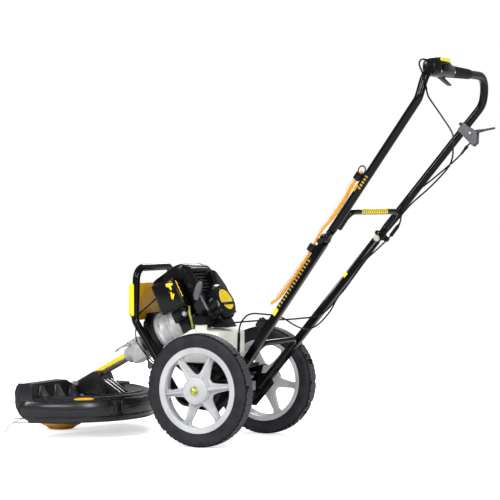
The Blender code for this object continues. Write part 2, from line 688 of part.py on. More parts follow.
def clamp_knob(crank):
    """The wing screw under the clamp."""
    item = rod("clamp_knob", 0.0030, -0.0460, -0.0334, 10, "Z", crank)
    wing = slab("knob_wing", [(-0.0080, -0.0640), (0.0080, -0.0640), (0.0105, -0.0560), (0.0040, -0.0440),
                              (-0.0040, -0.0440), (-0.0105, -0.0560)], 0.0050, "Y", crank)
    soften(wing, 0.0010)
    weld(item, wing)
    item.location.x = 0.3130
    wing.location.x = 0.3130
    colour(item, "77797B", 0.5)


def lower_tube(crank):
    profile = [(TUBE_RADIUS, 0.0300), (TUBE_RADIUS, 0.2930), (TUBE_RADIUS - 0.0016, 0.2930),
               (TUBE_RADIUS - 0.0016, 0.0300)]
    colour(turned("lower_tube", profile, 16, "X", crank, loop=True), "B9BBBE", 0.3, 1.0)


def drive_shaft(crank):
    """The solid shaft inside the tube, with a collar for each of its bushes."""
    profile = [(0, 0.0100), (0.0040, 0.0100)]
    for u in (0.1000, 0.2200):
        profile += [(0.0040, u), (0.0108, u + 0.0015), (0.0108, u + 0.0085), (0.0040, u + 0.0100)]
    profile += [(0.0040, 0.3550), (0, 0.3550)]
    colour(turned("drive_shaft", profile, 10, "X", crank), "7E8084", 0.35, 1.0)


def gear_case(crank, machine):
    """The cast angle-gear case on the end of the tube."""
    profile = [(0, -0.0240), (0.0110, -0.0235), (0.0195, -0.0160), (0.0220, -0.0020), (0.0210, 0.0120),
               (0.0185, 0.0200), (0.0185, 0.0600), (TUBE_RADIUS + 2 * GAP, 0.0600),
               (TUBE_RADIUS + 2 * GAP, 0.0285),
               (0.0045, 0.0285), (0.0045, 0.0080), (0, 0.0080)]
    item = turned("gear_case", profile, 14, "X", crank)
    boss = turned("case_boss", [(0, 0.0667), (0.0240, 0.0667), (0.0250, 0.0720), (0.0230, 0.0870),
                                (0.0180, 0.0935), (0, 0.0935)], 14, "Z", machine)
    boss.location.x = HEAD_X
    hole = rod("spindle_hole", 0.0055, 0.0600, 0.0830, 12, "Z", machine)
    hole.location.x = HEAD_X
    weld(item, boss)
    cut(item, hole)
    colour(item, "A3A4A7", 0.5, 0.8)


def guard_bracket(crank, machine):
    """The ribbed tower that carries the guard on the tube."""
    wall = [(-0.4930, 0.1055), (-0.4930, 0.1440), (-0.4500, 0.1690), (-0.4270, 0.1750), (-0.3960, 0.1055)]
    item = slab("guard_bracket", wall, 0.0600, "Y", machine)
    soften(item, 0.0030)
    for sign in (-1, 1):
        pocket = [(-0.4820, 0.0900), (-0.4820, 0.1380), (-0.4540, 0.1560), (-0.4380, 0.1570),
                  (-0.4140, 0.0900)]
        cut(item, slab(f"tower_pocket_{sign}", pocket, 0.0100, "Y", machine, sign * 0.0205))
    rib = [(-0.4240, 0.1590), (-0.3540, 0.1145), (-0.3570, 0.1120), (-0.3670, 0.1055), (-0.4300, 0.1055)]
    ribs = [slab(f"tower_rib_{at}", rib, 0.0050, "Y", machine, y)
            for at, y in enumerate((-0.0200, 0.0, 0.0200))]
    flange = [(-0.4300, 0.1750), (-0.4230, 0.1760), (-0.3890, 0.1055), (-0.3990, 0.1055)]
    weld(item, slab("tower_flange", flange, 0.0680, "Y", machine), *ribs)
    cut(item, rod("tower_bore", TUBE_RADIUS + GAP, 0.0500, 0.2400, 24, "X", crank))
    colour(item, "3A3A3E", 0.45)


def guard_arc(machine):
    """The half-round deck, its bulging skirt and the lip along the bottom."""
    outside = [(0.0450, 0.1050), (0.2050, 0.1050), (0.2400, 0.1160), (0.2560, 0.1130), (0.2650, 0.1020),
               (0.2655, 0.0620), (0.2690, 0.0570), (0.2690, 0.0450)]
    inside = [(0.2650, 0.0450), (0.2620, 0.0600), (0.2615, 0.0980), (0.2530, 0.1085), (0.2400, 0.1120),
              (0.2065, 0.1015), (0.0450, 0.1015)]
    angles = [0, 3.5, 6, 14, 22, 33.5, 45, 56, 67, 69.5, 76, 78, 90]
    angles += [180 - a for a in reversed(angles[:-1])]
    bm = bmesh.new()
    rings = []
    for angle in angles:
        phi = math.radians(angle)
        ring = []
        for at, (r, z) in enumerate(outside + inside):
            side_panel = 5 < min(angle, 180 - angle) < 68
            rear_panel = 77 < angle < 103
            if 3 <= at <= 5:
                r += 0.0030 * side_panel + 0.0055 * rear_panel
            ring.append(bm.verts.new((r * math.sin(phi), -r * math.cos(phi), z)))
        rings.append(ring)
    count = len(rings[0])
    for one, two in zip(rings, rings[1:]):
        for at in range(count):
            bm.faces.new((one[at], one[(at + 1) % count], two[(at + 1) % count], two[at]))
    bm.faces.new(rings[0])
    bm.faces.new(rings[-1])
    item = place_mesh("guard", bm, machine)
    item.location.x = HEAD_X
    return round_shading(item)


def guard_hood(machine):
    """The folded front edge: a raised hood on the left, dipped for the tube, low on the right."""
    stations = {-HOOD_REACH: HOOD_TOP, -0.082: HOOD_TOP, -0.032: 0.1300, 0.032: 0.1300, 0.082: LIP_TOP,
                HOOD_REACH: LIP_TOP}
    bm = bmesh.new()
    rings = []
    for y, top in stations.items():
        section = [(-0.4970, 0.1020), (-0.4970, top), (-0.5320, top), (-0.5410, top - 0.0100),
                   (-0.5385, top - 0.0115), (-0.5310, top - 0.0030), (-0.5000, top - 0.0030),
                   (-0.5000, 0.1020)]
        ring = []
        for x, z in section:
            reach = math.copysign(math.sqrt(HOOD_REACH ** 2 - (x - HEAD_X) ** 2), y)
            ring.append(bm.verts.new((x, reach if abs(y) == HOOD_REACH else y, z)))
        rings.append(ring)
    for one, two in zip(rings, rings[1:]):
        for at in range(8):
            bm.faces.new((one[at], one[(at + 1) % 8], two[(at + 1) % 8], two[at]))
    bm.faces.new(rings[0])
    bm.faces.new(rings[-1])
    return place_mesh("guard_hood", bm, machine)


def hood_end(side, machine):
    """The wall that carries the curve of the skirt up to the top of the hood, at one end."""
    sign = SIDES[side]
    top = (HOOD_TOP if sign < 0 else LIP_TOP) + 0.0015
    bm = bmesh.new()
    rings = []
    for angle in (3.5, 8.5, 12.5, 16.5):
        phi = math.radians(angle)
        section = [(0.2610, 0.0900), (0.2650, 0.0900), (0.2650, top), (0.2610, top)]
        rings.append([bm.verts.new((r * math.sin(phi), sign * r * math.cos(phi), z)) for r, z in section])
    for one, two in zip(rings, rings[1:]):
        for at in range(4):
            bm.faces.new((one[at], one[(at + 1) % 4], two[(at + 1) % 4], two[at]))
    bm.faces.new(rings[0])
    bm.faces.new(rings[-1])
    item = place_mesh(side + "_hood_end", bm, machine)
    item.location.x = HEAD_X
    return item


def hood_props(machine):
    """Three tapered fingers that prop the back wall of the raised hood on the deck."""
    bm = bmesh.new()
    for y in (-0.2060, -0.1300, -0.0560):
        top = 0.1350 if y > -0.1 else 0.1440
        foot = ((-0.4985, -0.0150), (-0.4705, -0.0110), (-0.4705, 0.0110), (-0.4985, 0.0150))
        head = ((-0.4985, -0.0080), (-0.4940, -0.0060), (-0.4940, 0.0060), (-0.4985, 0.0080))
        low = [bm.verts.new((x, y + dy, 0.1030)) for x, dy in foot]
        high = [bm.verts.new((x, y + dy, top)) for x, dy in head]
        for at in range(4):
            bm.faces.new((low[at], low[(at + 1) % 4], high[(at + 1) % 4], high[at]))
        bm.faces.new(low)
        bm.faces.new(high)
    return place_mesh("hood_props", bm, machine)


def guard(crank, machine):
    """The moulded guard behind the cutting lines: deck, skirt, panels, hood and props."""
    item = guard_arc(machine)
    cut(item, block("deck_opening", (-0.6500, -0.2500, 0.0950), (-0.5010, 0.2500, 0.1400), machine))
    ends = [hood_end(side, machine) for side in SIDES]
    weld(item, guard_hood(machine), *ends)
    notch = [(0, -0.0300), (0.0205, -0.0300), (0.0205, 0.0620), (0.0145, 0.0620), (0.0145, 0.1300),
             (0, 0.1300)]
    corner = [(-0.6600, 0.0300), (-0.5000, 0.0300), (-0.5050, 0.0505), (-0.5190, 0.0570), (-0.5310, 0.0680),
              (-0.5410, 0.0860), (-0.5455, 0.1060), (-0.5470, 0.1290), (-0.5420, 0.1440), (-0.5330, 0.1560),
              (-0.6600, 0.1560)]
    cut(item, turned("tube_notch", notch, 16, "X", crank))
    cut(item, slab("front_corners", corner, 0.6000, "Y", machine))
    weld(item, hood_props(machine))
    colour(item, "36363A", 0.4)


def trimmer_head(machine):
    """The spinning head: spindle, cap and the open bottom for the bump knob."""
    profile = [(0, 0.0800), (0.0050, 0.0800), (0.0050, 0.0662), (0.0200, 0.0662), (0.0260, 0.0640),
               (0.0500, 0.0595), (0.0610, 0.0500), (0.0620, 0.0360), (0.0600, 0.0250), (0.0530, 0.0250),
               (0.0530, 0.0520), (0.0100, 0.0520), (0.0100, 0.0370), (0, 0.0370)]
    item = turned("trimmer_head", profile, 18, "Z", machine)
    item.location.x = HEAD_X
    colour(item, "2B2B2D", 0.5)


def bump_knob(machine):
    """The amber bowl that feeds line when it is bumped on the ground."""
    profile = [(0, 0), (0.0300, 0), (0.0350, 0.0012), (0.0480, 0.0100), (0.0580, 0.0160), (0.0580, 0.0190),
               (0.0518, 0.0195), (0.0518, 0.0300), (0.0460, 0.0300), (0.0440, 0.0210), (0, 0.0210)]
    item = turned("bump_knob", profile, 18, "Z", machine)
    item.location.x = HEAD_X
    colour(item, "C98E12", 0.4)


def cutting_lines(machine):
    """One line ahead at full reach, the other sagging to the left."""
    ahead = [(-0.6326, -0.0050, 0.0420), (-0.6700, -0.0120, 0.0560), (-0.7150, -0.0180, 0.0720),
             (-0.7640, -0.0200, 0.0900)]
    aside = [(-0.5900, -0.0594, 0.0420), (-0.6120, -0.1150, 0.0400), (-0.6240, -0.1680, 0.0280),
             (-0.6240, -0.2080, 0.0040)]
    colour(tube("front_line", smooth_route(ahead, 0.012), 0.0012, machine, rings=1), "A9AB86", 0.4)
    colour(tube("side_line", smooth_route(aside, 0.012), 0.0012, machine, rings=1), "F0A35E", 0.4)


def handle_path():
    """Up one arm from above the fold, across the grips and down the other arm."""
    corners = [along_leg(0.026), along_leg(ARM_LENGTH), Vector((GRIP_X, 0.2000, GRIP_Z))]
    corners += [Vector((c.x, -c.y, c.z)) for c in reversed(corners)]
    return bent_path(corners, 0.042, 3)


def handle_tube(machine):
    """The arms and crossbar, one bent tube with a flat lug at each end."""
    item = tube("handle_tube", handle_path(), HANDLE_RADIUS, machine, rings=3, wall=0.0016)
    for side, sign in SIDES.items():
        weld(item, fold_lug(side + "_arm_lug", -0.010, 0.050, sign, 0.0032, machine))
    colour(item, "17171A", 0.3, 0.2)


def upper_brace(machine):
    """A bent tube welded between the arms just over the fold."""
    half_path = [(0.3905, 0.1435, 0.5860), (0.4250, 0.1500, 0.6290)]
    corners = half_path + [(x, -y, z) for x, y, z in reversed(half_path)]
    item = tube("upper_brace", bent_path(corners, 0.022, 4), 0.0075, machine, rings=2, wall=0.0015)
    colour(item, "17171A", 0.3, 0.2)


def fold_knob(side, machine):
    """A wing knob moulded on the bolt that pins leg and arm together."""
    sign = SIDES[side]
    turn = 0 if sign > 0 else math.pi
    centre = frame_empty(side + "_fold_pin", (PIVOT.x, sign * PIVOT.y, PIVOT.z), (0, 0, turn), machine)
    item = rod(side + "_fold_knob", 0.0040, -0.0075, 0.0120, 12, "Y", centre)
    head = rod(side + "_bolt_head", 0.0070, -0.0115, -0.0070, 12, "Y", centre)
    hub = turned(side + "_knob_hub", [(0, 0.0070), (0.0110, 0.0070), (0.0130, 0.0120), (0.0110, 0.0220),
                                      (0, 0.0235)], 14, "Y", centre)
    upper = [(-0.0225, 0.0040), (-0.0180, 0.0065), (0.0, 0.0085), (0.0180, 0.0065), (0.0225, 0.0040)]
    outline = upper + [(a, -b) for a, b in reversed(upper)]
    wings = slab(side + "_knob_wings", outline, 0.0100, "Y", centre, 0.0160)
    weld(item, head, hub, wings)
    item.rotation_euler.y = math.radians(35)
    for piece in (head, hub, wings):
        piece.rotation_euler.y = item.rotation_euler.y
    colour(item, "1C1C1E", 0.5)


def throttle_housing(machine):
    """The moulded switch and throttle box clamped on the crossbar."""
    outline = [(-0.1860, -0.0170), (-0.1700, -0.0200), (-0.1000, -0.0200), (-0.0560, -0.0160),
               (-0.0500, 0.0120), (-0.0700, 0.0250), (-0.1100, 0.0310), (-0.1600, 0.0310), (-0.1850, 0.0200)]
    item = slab("throttle_housing", outline, 0.0500, "X", machine)
    soften(item, 0.0080, 2, 20)
    item.location = (GRIP_X, 0, GRIP_Z)
    bore = tube("housing_bore", handle_path(), HANDLE_RADIUS + GAP, machine, rings=3)
    slot = block("trigger_slot", (GRIP_X - 0.0080, -0.1250, GRIP_Z - 0.0300),
                 (GRIP_X + 0.0080, -0.0300, GRIP_Z - 0.0100), machine)
    recess = block("switch_recess", (GRIP_X + 0.0180, -0.1550, GRIP_Z - 0.0020),
                   (GRIP_X + 0.0300, -0.1250, GRIP_Z + 0.0120), machine)
    cut(item, bore, slot, recess)
    colour(item, "232427", 0.5)


def throttle_trigger(machine):
    """The finger lever under the bar."""
    outline = [(-0.0040, -0.0030), (0.0, -0.0045), (0.0480, -0.0180), (0.0640, -0.0215), (0.0660, -0.0180),
               (0.0480, -0.0120), (0.0060, 0.0025), (0.0, 0.0035), (-0.0040, 0.0025)]
    item = slab("throttle_trigger", outline, 0.0120, "X", machine)
    item.location = (GRIP_X, -0.1190, GRIP_Z - 0.0160)
    soften(item, 0.0010)
    colour(item, "2B2C2F", 0.5)


def stop_switch(machine):
    item = block("stop_switch", (-0.0055, -0.0060, -0.0060), (0.0075, 0.0060, 0.0060), machine)
    soften(item, 0.0012)
    item.location = (GRIP_X + 0.0240, -0.1460, GRIP_Z + 0.0050)
    colour(item, "5A1F1C", 0.45)


def grip_sleeve(machine):
    """The tapered rubber sleeve beside the throttle box."""
    profile = [(HANDLE_RADIUS + GAP, 0), (0.0155, 0), (0.0160, 0.0040), (0.0148, 0.0500), (0.0133, 0.1180),
               (HANDLE_RADIUS + GAP, 0.1210)]
    item = turned("grip_sleeve", profile, 20, "Y", machine, loop=True)
    item.location = (GRIP_X, -0.0490, GRIP_Z)
    colour(item, "222326", 0.7)


def lever_bracket(machine):
    """The clamp on the right arm that carries the drive lever and its cable stop."""
    spot = along_leg(LEVER_AT)
    turn = aim(LEG_WAY)
    outline = [(-0.0145, -0.0040), (0.0100, -0.0040), (0.0390, -0.0080), (0.0540, -0.0100), (0.0560, 0.0060),
               (0.0370, 0.0290), (0.0060, 0.0260), (-0.0145, 0.0240)]
    item = slab("lever_bracket", outline, 0.0300, "Y", machine)
    slit = block("lever_slit", (0.0145, -0.0042, -0.0500), (0.0600, 0.0042, 0.0600), machine)
    bore = rod("bracket_bore", HANDLE_RADIUS + GAP, -0.05, 0.05, 24, "Z", machine)
    pin_hole = rod("lever_pin_hole", 0.0032, -0.03, 0.03, 12, "Y", machine)
    for piece in (item, slit, bore):
        piece.location = spot
        piece.rotation_euler = turn
    pin_spot = spot + turn.to_matrix() @ Vector((0.0256, 0, 0.0147))
    pin_hole.location = pin_spot
    pin_hole.rotation_euler = turn
    cut(item, bore, slit, pin_hole)
    colour(item, "4A4B4E", 0.5)
    return pin_spot


def drive_lever(machine, pin_spot):
    """The blade that engages the wheel drive, with its own pivot pin."""
    outline = disc_outline(0.0072, 7, start=math.radians(140), sweep=math.radians(200))
    outline += [(0.0150, 0.0130), (0.0270, 0.0290), (0.0432, 0.0478), (0.0398, 0.0512), (0.0230, 0.0330),
                (0.0060, 0.0170)]
    item = slab("drive_lever", outline, 0.0066, "Y", machine)
    pin = rod("lever_pin", 0.0028, -0.0158, 0.0158, 12, "Y", machine)
    weld(item, pin)
    for piece in (item, pin):
        piece.location = pin_spot
        piece.rotation_euler = aim(LEG_WAY)
    colour(item, "55565A", 0.5, 0.3)


def cables(machine):
    """The two control cables, each in a length on either side of the fold."""
    throttle_top = [(0.6600, -0.1868, 1.0040), (0.6590, -0.2050, 1.0090), (0.6560, -0.2260, 1.0080),
                    (0.6550, -0.2360, 0.9960), (0.6620, -0.2280, 0.9700), (0.6630, -0.2120, 0.9420),
                    (0.6590, -0.1900, 0.9200), (0.6480, -0.1200, 0.8960), (0.6320, -0.0300, 0.8700),
                    (0.6080, 0.0900, 0.8340), (0.5820, 0.1560, 0.7980), (0.5740, 0.1700, 0.7720),
                    (0.5600, 0.1700, 0.7440), (0.5125, 0.1650, 0.6950), (0.4600, 0.1550, 0.6480)]
    throttle_low = [(0.3750, 0.1320, 0.5450), (0.3380, 0.1270, 0.4950), (0.2780, 0.1170, 0.4150),
                    (0.2220, 0.1000, 0.3500), (0.1650, 0.0600, 0.3360), (0.1000, 0.0000, 0.3330),
                    (0.0400, -0.0450, 0.3280), (-0.0200, -0.0520, 0.3200), (-0.0400, -0.0560, 0.3170),
                    (-0.0600, -0.0590, 0.3150), (-0.0790, -0.0605, 0.3140), (-0.0950, -0.0605, 0.3130),
                    (-0.1080, -0.0605, 0.3190), (-0.1120, -0.0600, 0.3300)]
    drive_top = [(0.6060, 0.2000, 0.8060), (0.5900, 0.1960, 0.7840), (0.5650, 0.1880, 0.7590),
                 (0.5080, 0.1720, 0.7100), (0.4400, 0.1540, 0.6560), (0.4350, 0.1520, 0.6330)]
    drive_low = [(0.4290, 0.1500, 0.5950), (0.4042, 0.1470, 0.5624), (0.3680, 0.1440, 0.5280),
                 (0.3290, 0.1390, 0.4912), (0.2800, 0.1300, 0.4224), (0.2560, 0.1240, 0.3920),
                 (0.2360, 0.1200, 0.3560), (0.2060, 0.1150, 0.3220), (0.1850, 0.1050, 0.3080),
                 (0.1790, 0.0600, 0.3100), (0.1920, -0.0200, 0.3260), (0.2000, -0.0840, 0.3440),
                 (0.1800, -0.1020, 0.3530), (0.1480, -0.1060, 0.3560), (0.1140, -0.1090, 0.3560),
                 (0.0930, -0.1110, 0.3440), (0.0790, -0.1120, 0.3160), (0.0770, -0.1120, 0.2600),
                 (0.0720, -0.1120, 0.2340), (0.0600, -0.1105, 0.2110), (0.0500, -0.0980, 0.1960),
                 (0.0520, -0.0800, 0.1890), (0.0640, -0.0560, 0.1860), (0.0780, -0.0280, 0.1900),
                 (0.0740, -0.0115, 0.1900), (0.0640, -0.0100, 0.1834)]
    routes = {"throttle_cable_upper": throttle_top, "throttle_cable_lower": throttle_low,
              "drive_cable_upper": drive_top, "drive_cable_lower": drive_low}
    for name, stops in routes.items():
        colour(tube(name, smooth_route(stops, 0.018), 0.0025, machine, rings=1), "141415", 0.45)


def cable_stop(machine):
    """The moulded box on the left leg over which the drive cable arches."""
    item = block("cable_stop", (-0.0340, -0.0100, -0.0140), (-0.0103, 0.0100, 0.0140), machine)
    soften(item, 0.0020)
    item.location = along_leg(-0.3130, -1)
    item.rotation_euler = aim(Vector((LEG_WAY.x, -LEG_WAY.y, LEG_WAY.z)))
    colour(item, "151517", 0.5)


def line_holder(name, distance, machine):
    """A plastic clip on the left arm or leg that stores spare cutting line."""
    spot = along_leg(distance, -1)
    item = block(name, (-0.0300, -0.0080, -0.0110), (-0.0118, 0.0080, 0.0110), machine)
    soften(item, 0.0015)
    item.location = spot
    item.rotation_euler = aim(Vector((LEG_WAY.x, -LEG_WAY.y, LEG_WAY.z)))
    passage = block(name + "_passage", (-0.0264, -0.0052, -0.0200), (-0.0176, 0.0052, 0.0200), machine)
    passage.location = item.location
    passage.rotation_euler = item.rotation_euler
    cut(item, passage)
    colour(item, "1C1C1E", 0.6)


def spare_lines(machine):
    """Spare cutting line through the clips, in a length on each side of the fold."""
    way = Vector((LEG_WAY.x, -LEG_WAY.y, LEG_WAY.z))
    off = Matrix.Rotation(aim(way).y, 3, "Y") @ Vector((-0.0220, 0, 0))
    upper_stops = ((0.215, 1.0), (0.185, 1.0), (0.130, 1.35), (0.060, 1.45))
    lower_stops = ((-0.034, 1.0), (-0.060, 1.0), (-0.100, 1.1), (-0.170, 1.5), (-0.230, 2.2))
    upper = [along_leg(distance, -1) + off * share for distance, share in upper_stops]
    lower = [along_leg(distance, -1) + off * share for distance, share in lower_stops]
    for name, stops in (("spare_line_upper", upper), ("spare_line_lower", lower)):
        colour(tube(name, smooth_route(stops, 0.018), 0.0026, machine, rings=1), "F0A023", 0.4)


def build():
    clear_scene()
    machine = frame_empty("axle_frame", (AXLE_X, 0, 0))
    crank = frame_empty("crank_frame", (HEAD_X, 0, GEAR_CASE_Z), (0, -SHAFT_SLOPE, 0), machine)
    axle(machine)
    for side in SIDES:
        wheel(side, machine)
        leg(side, machine)
    lower_brace(machine)
    front_loop(machine)
    front_panel(machine)
    engine_plate(crank)
    cradle_tray(machine)
    drive_casing(machine)
    clutch_housing(crank)
    crankcase(crank)
    cylinder(crank)
    engine_shroud(crank)
    starter_cover(crank)
    starter_handle(crank)
    air_filter_cover(crank)
    carburettor(crank)
    choke_lever(crank)
    primer_bulb(crank)
    muffler(crank)
    fuel_tank(machine, crank)
    fuel_cap(machine)
    fuel_line(machine)
    shaft_clamp(crank)
    clamp_lever(crank)
    clamp_knob(crank)
    lower_tube(crank)
    drive_shaft(crank)
    gear_case(crank, machine)
    guard_bracket(crank, machine)
    guard(crank, machine)
    trimmer_head(machine)
    bump_knob(machine)
    cutting_lines(machine)
    handle_tube(machine)
    upper_brace(machine)
    for side in SIDES:
        fold_knob(side, machine)
    throttle_housing(machine)
    throttle_trigger(machine)
    stop_switch(machine)
    grip_sleeve(machine)
    pin_spot = lever_bracket(machine)
    drive_lever(machine, pin_spot)
    cables(machine)
    cable_stop(machine)
    line_holder("upper_line_clip", 0.1870, machine)
    line_holder("lower_line_clip", -0.0500, machine)
    spare_lines(machine)


build()
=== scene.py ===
"""The looks of a wheeled petrol string trimmer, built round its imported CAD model."""
import json
import math

import bpy
from mathutils import Matrix, Vector


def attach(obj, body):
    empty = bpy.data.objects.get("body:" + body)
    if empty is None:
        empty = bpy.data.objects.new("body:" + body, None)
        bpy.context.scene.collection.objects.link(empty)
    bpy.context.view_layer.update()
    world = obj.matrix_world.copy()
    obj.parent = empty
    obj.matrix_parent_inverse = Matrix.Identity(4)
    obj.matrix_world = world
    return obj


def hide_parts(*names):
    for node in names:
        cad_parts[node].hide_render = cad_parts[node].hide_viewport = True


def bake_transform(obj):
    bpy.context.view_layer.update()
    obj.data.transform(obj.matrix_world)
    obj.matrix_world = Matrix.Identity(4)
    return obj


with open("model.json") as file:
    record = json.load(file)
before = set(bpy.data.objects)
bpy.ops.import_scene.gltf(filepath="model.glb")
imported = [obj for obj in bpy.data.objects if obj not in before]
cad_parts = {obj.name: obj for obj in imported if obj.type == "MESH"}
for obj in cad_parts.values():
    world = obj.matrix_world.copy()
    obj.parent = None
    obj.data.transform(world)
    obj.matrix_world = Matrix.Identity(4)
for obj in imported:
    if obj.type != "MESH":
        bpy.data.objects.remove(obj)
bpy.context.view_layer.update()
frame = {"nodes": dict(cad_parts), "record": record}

# The camera stands low on the machine's left and a little behind it, far off, with a long lens.
# It looks at a point over the axle. The shift puts the machine where the photograph has it.
AXLE_X = 0.0365
LOOK_AT = Vector((AXLE_X, 0, 0.5))
AZIMUTH = math.radians(28.899)
ELEVATION = math.radians(1.618)
DISTANCE = 5.5055
BACK = Vector((math.sin(AZIMUTH) * math.cos(ELEVATION), -math.cos(AZIMUTH) * math.cos(ELEVATION),
               math.sin(ELEVATION)))
camera_data = bpy.data.cameras.new("photo_camera")
camera_data.lens = 144.42
camera_data.sensor_width = 36
camera_data.shift_x = 0.0324
camera_data.shift_y = 0.0167
camera = bpy.data.objects.new("photo_camera", camera_data)
camera.location = LOOK_AT + BACK * DISTANCE
camera.rotation_mode = "QUATERNION"
camera.rotation_quaternion = (-BACK).to_track_quat("-Z", "Y")
bpy.context.scene.collection.objects.link(camera)
bpy.context.scene.camera = camera
bpy.context.scene.view_settings.view_transform = "Standard"


# The studio: a white floor that runs far off, a plain white room, and four soft lamps. The floor
# and the room are white to the eye, and the floor keeps the machine's shadow.
ROOM_LIGHT = 0.55
DIMMED_IN_GLOSS = 0.22
FLOOR_LIFT = 0.56
FLOOR_SPAN = 60
LAMPS_FACE = Vector((0, 0, 0.4))


def add_node(material, kind, settings=None, links=None):
    """Adds a node, sets its properties or sockets by name, and feeds its sockets."""
    node = material.node_tree.nodes.new("ShaderNode" + kind)
    for name, value in (settings or {}).items():
        if isinstance(name, str) and name in node.bl_rna.properties:
            setattr(node, name, value)
        else:
            node.inputs[name].default_value = value
    for name, source in (links or {}).items():
        material.node_tree.links.new(source, node.inputs[name])
    return node


def maths(material, operation, *terms):
    """The result of a maths node, whose terms are numbers or the sockets that feed it."""
    numbers = {at: term for at, term in enumerate(terms) if isinstance(term, (int, float))}
    sockets = {at: term for at, term in enumerate(terms) if at not in numbers}
    return add_node(material, "Math", {"operation": operation, **numbers}, sockets).outputs[0]


def seen_directly(material):
    """One where the camera or a clear material looks, and zero for the light itself."""
    rays = add_node(material, "LightPath").outputs
    return maths(material, "MAXIMUM", rays["Is Camera Ray"], rays["Is Transmission Ray"])


# The room is white to the eye, softer as a light, and dimmer again in the gloss of the blacks,
# so that the lamps draw the highlights.
room = bpy.data.worlds.new("white_room")
bpy.context.scene.world = room
room.use_nodes = True
room.node_tree.nodes.clear()
gloss_ray = add_node(room, "LightPath").outputs["Is Glossy Ray"]
lit = maths(room, "MULTIPLY_ADD", seen_directly(room), 1 - ROOM_LIGHT, ROOM_LIGHT)
walls = add_node(room, "Background", {"Color": (1, 1, 1, 1)},
                 {"Strength": maths(room, "MULTIPLY_ADD", gloss_ray, -DIMMED_IN_GLOSS, lit)})
add_node(room, "OutputWorld", {}, {"Surface": walls.outputs[0]})

# Matt white paper, lifted to the white of the room wherever it is looked at.
paper = bpy.data.materials.new("white_paper_floor")
paper.use_nodes = True
paper_shader = paper.node_tree.nodes["Principled BSDF"]
paper_shader.inputs["Base Color"].default_value = (0.86, 0.86, 0.86, 1)
paper_shader.inputs["Roughness"].default_value = 0.9
paper_shader.inputs["Specular IOR Level"].default_value = 0.1
lift = add_node(paper, "Emission", {"Color": (1, 1, 1, 1)},
                {"Strength": maths(paper, "MULTIPLY", seen_directly(paper), FLOOR_LIFT)})
both = add_node(paper, "AddShader", {}, {0: paper_shader.outputs[0], 1: lift.outputs[0]})
paper.node_tree.links.new(both.outputs[0], paper.node_tree.nodes["Material Output"].inputs["Surface"])

bpy.ops.object.select_all(action="DESELECT")
bpy.ops.mesh.primitive_plane_add(size=FLOOR_SPAN, location=(0, 0, 0))
floor = bpy.context.active_object
floor.name = "studio_floor"
floor.data.materials.append(paper)


def lamp(name, place, width, height, power):
    """An upright soft box that faces the middle of the machine."""
    data = bpy.data.lights.new(name, "AREA")
    data.shape = "RECTANGLE"
    data.size = width
    data.size_y = height
    data.energy = power
    item = bpy.data.objects.new(name, data)
    item.location = place
    item.rotation_mode = "QUATERNION"
    item.rotation_quaternion = (LAMPS_FACE - Vector(place)).to_track_quat("-Z", "Y")
    bpy.context.scene.collection.objects.link(item)


lamp("key_box", (-1.6, -3.4, 3.0), 0.28, 2.4, 95)
lamp("fill_box", (3.4, -1.6, 1.8), 0.35, 2.0, 60)
lamp("low_box", (1.6, -3.8, 1.9), 2.6, 0.36, 62)
lamp("rim_box", (-1.0, 3.2, 2.6), 0.8, 1.8, 60)


# Wheels: two six-spoke rims moulded in silver-grey nylon, each in a lugged rubber tyre that is
# about 305 mm over the lugs. A flanged zinc nut holds each on the end of the axle.
WHEEL_RADIUS = 0.1525
WHEEL_Y = 0.1865
SPOKES = 6
SPOKE_TURN = math.radians(8)
TREAD_ROWS = 62
TREAD_RADIUS = 0.149
TREAD_EDGE = 0.1479
LUG_WIDTH = 0.006
LUG_HEIGHT = 0.0029
GAP_FROM, GAP_TO, LUG_TOP = 0.1482, 0.1508, 0.1512
SIDES = {"left": -1, "right": 1}
FACING_LEFT = Matrix(((1, 0, 0, 0), (0, 0, -1, 0), (0, 1, 0, 0), (0, 0, 0, 1)))


def linear(hex_code):
    """An sRGB hex colour as the linear colour that a socket takes."""
    channels = [int(hex_code[at:at + 2], 16) / 255 for at in (0, 2, 4)]
    return (*[c / 12.92 if c <= 0.04045 else ((c + 0.055) / 1.055) ** 2.4 for c in channels], 1)


def finish(name, light, dark, roughness, grain_mm, depth_mm, patch_mm=45, metallic=0.0, specular=0.5):
    """A finish whose tone drifts between two colours in patches, under a fine grain."""
    material = bpy.data.materials.new(name)
    material.use_nodes = True
    shader = material.node_tree.nodes["Principled BSDF"]
    shader.inputs["Metallic"].default_value = metallic
    shader.inputs["Specular IOR Level"].default_value = specular
    where = add_node(material, "TexCoord").outputs["Object"]
    patches = add_node(material, "TexNoise", {"Scale": 1000 / patch_mm, "Detail": 4.0}, {"Vector": where})
    tone = add_node(material, "ValToRGB", {}, {"Fac": patches.outputs["Fac"]})
    tone.color_ramp.elements[0].position = 0.36
    tone.color_ramp.elements[0].color = linear(dark)
    tone.color_ramp.elements[1].position = 0.64
    tone.color_ramp.elements[1].color = linear(light)
    gloss = add_node(material, "MapRange", {"From Min": 0.3, "From Max": 0.7, "To Min": roughness * 0.86,
                                            "To Max": roughness * 1.14}, {"Value": patches.outputs["Fac"]})
    grain = add_node(material, "TexNoise", {"Scale": 1000 / grain_mm, "Detail": 2.0}, {"Vector": where})
    bump = add_node(material, "Bump", {"Distance": depth_mm / 1000}, {"Height": grain.outputs["Fac"]})
    for socket, source in (("Base Color", tone.outputs[0]), ("Roughness", gloss.outputs[0]),
                           ("Normal", bump.outputs[0])):
        material.node_tree.links.new(source, shader.inputs[socket])
    return material


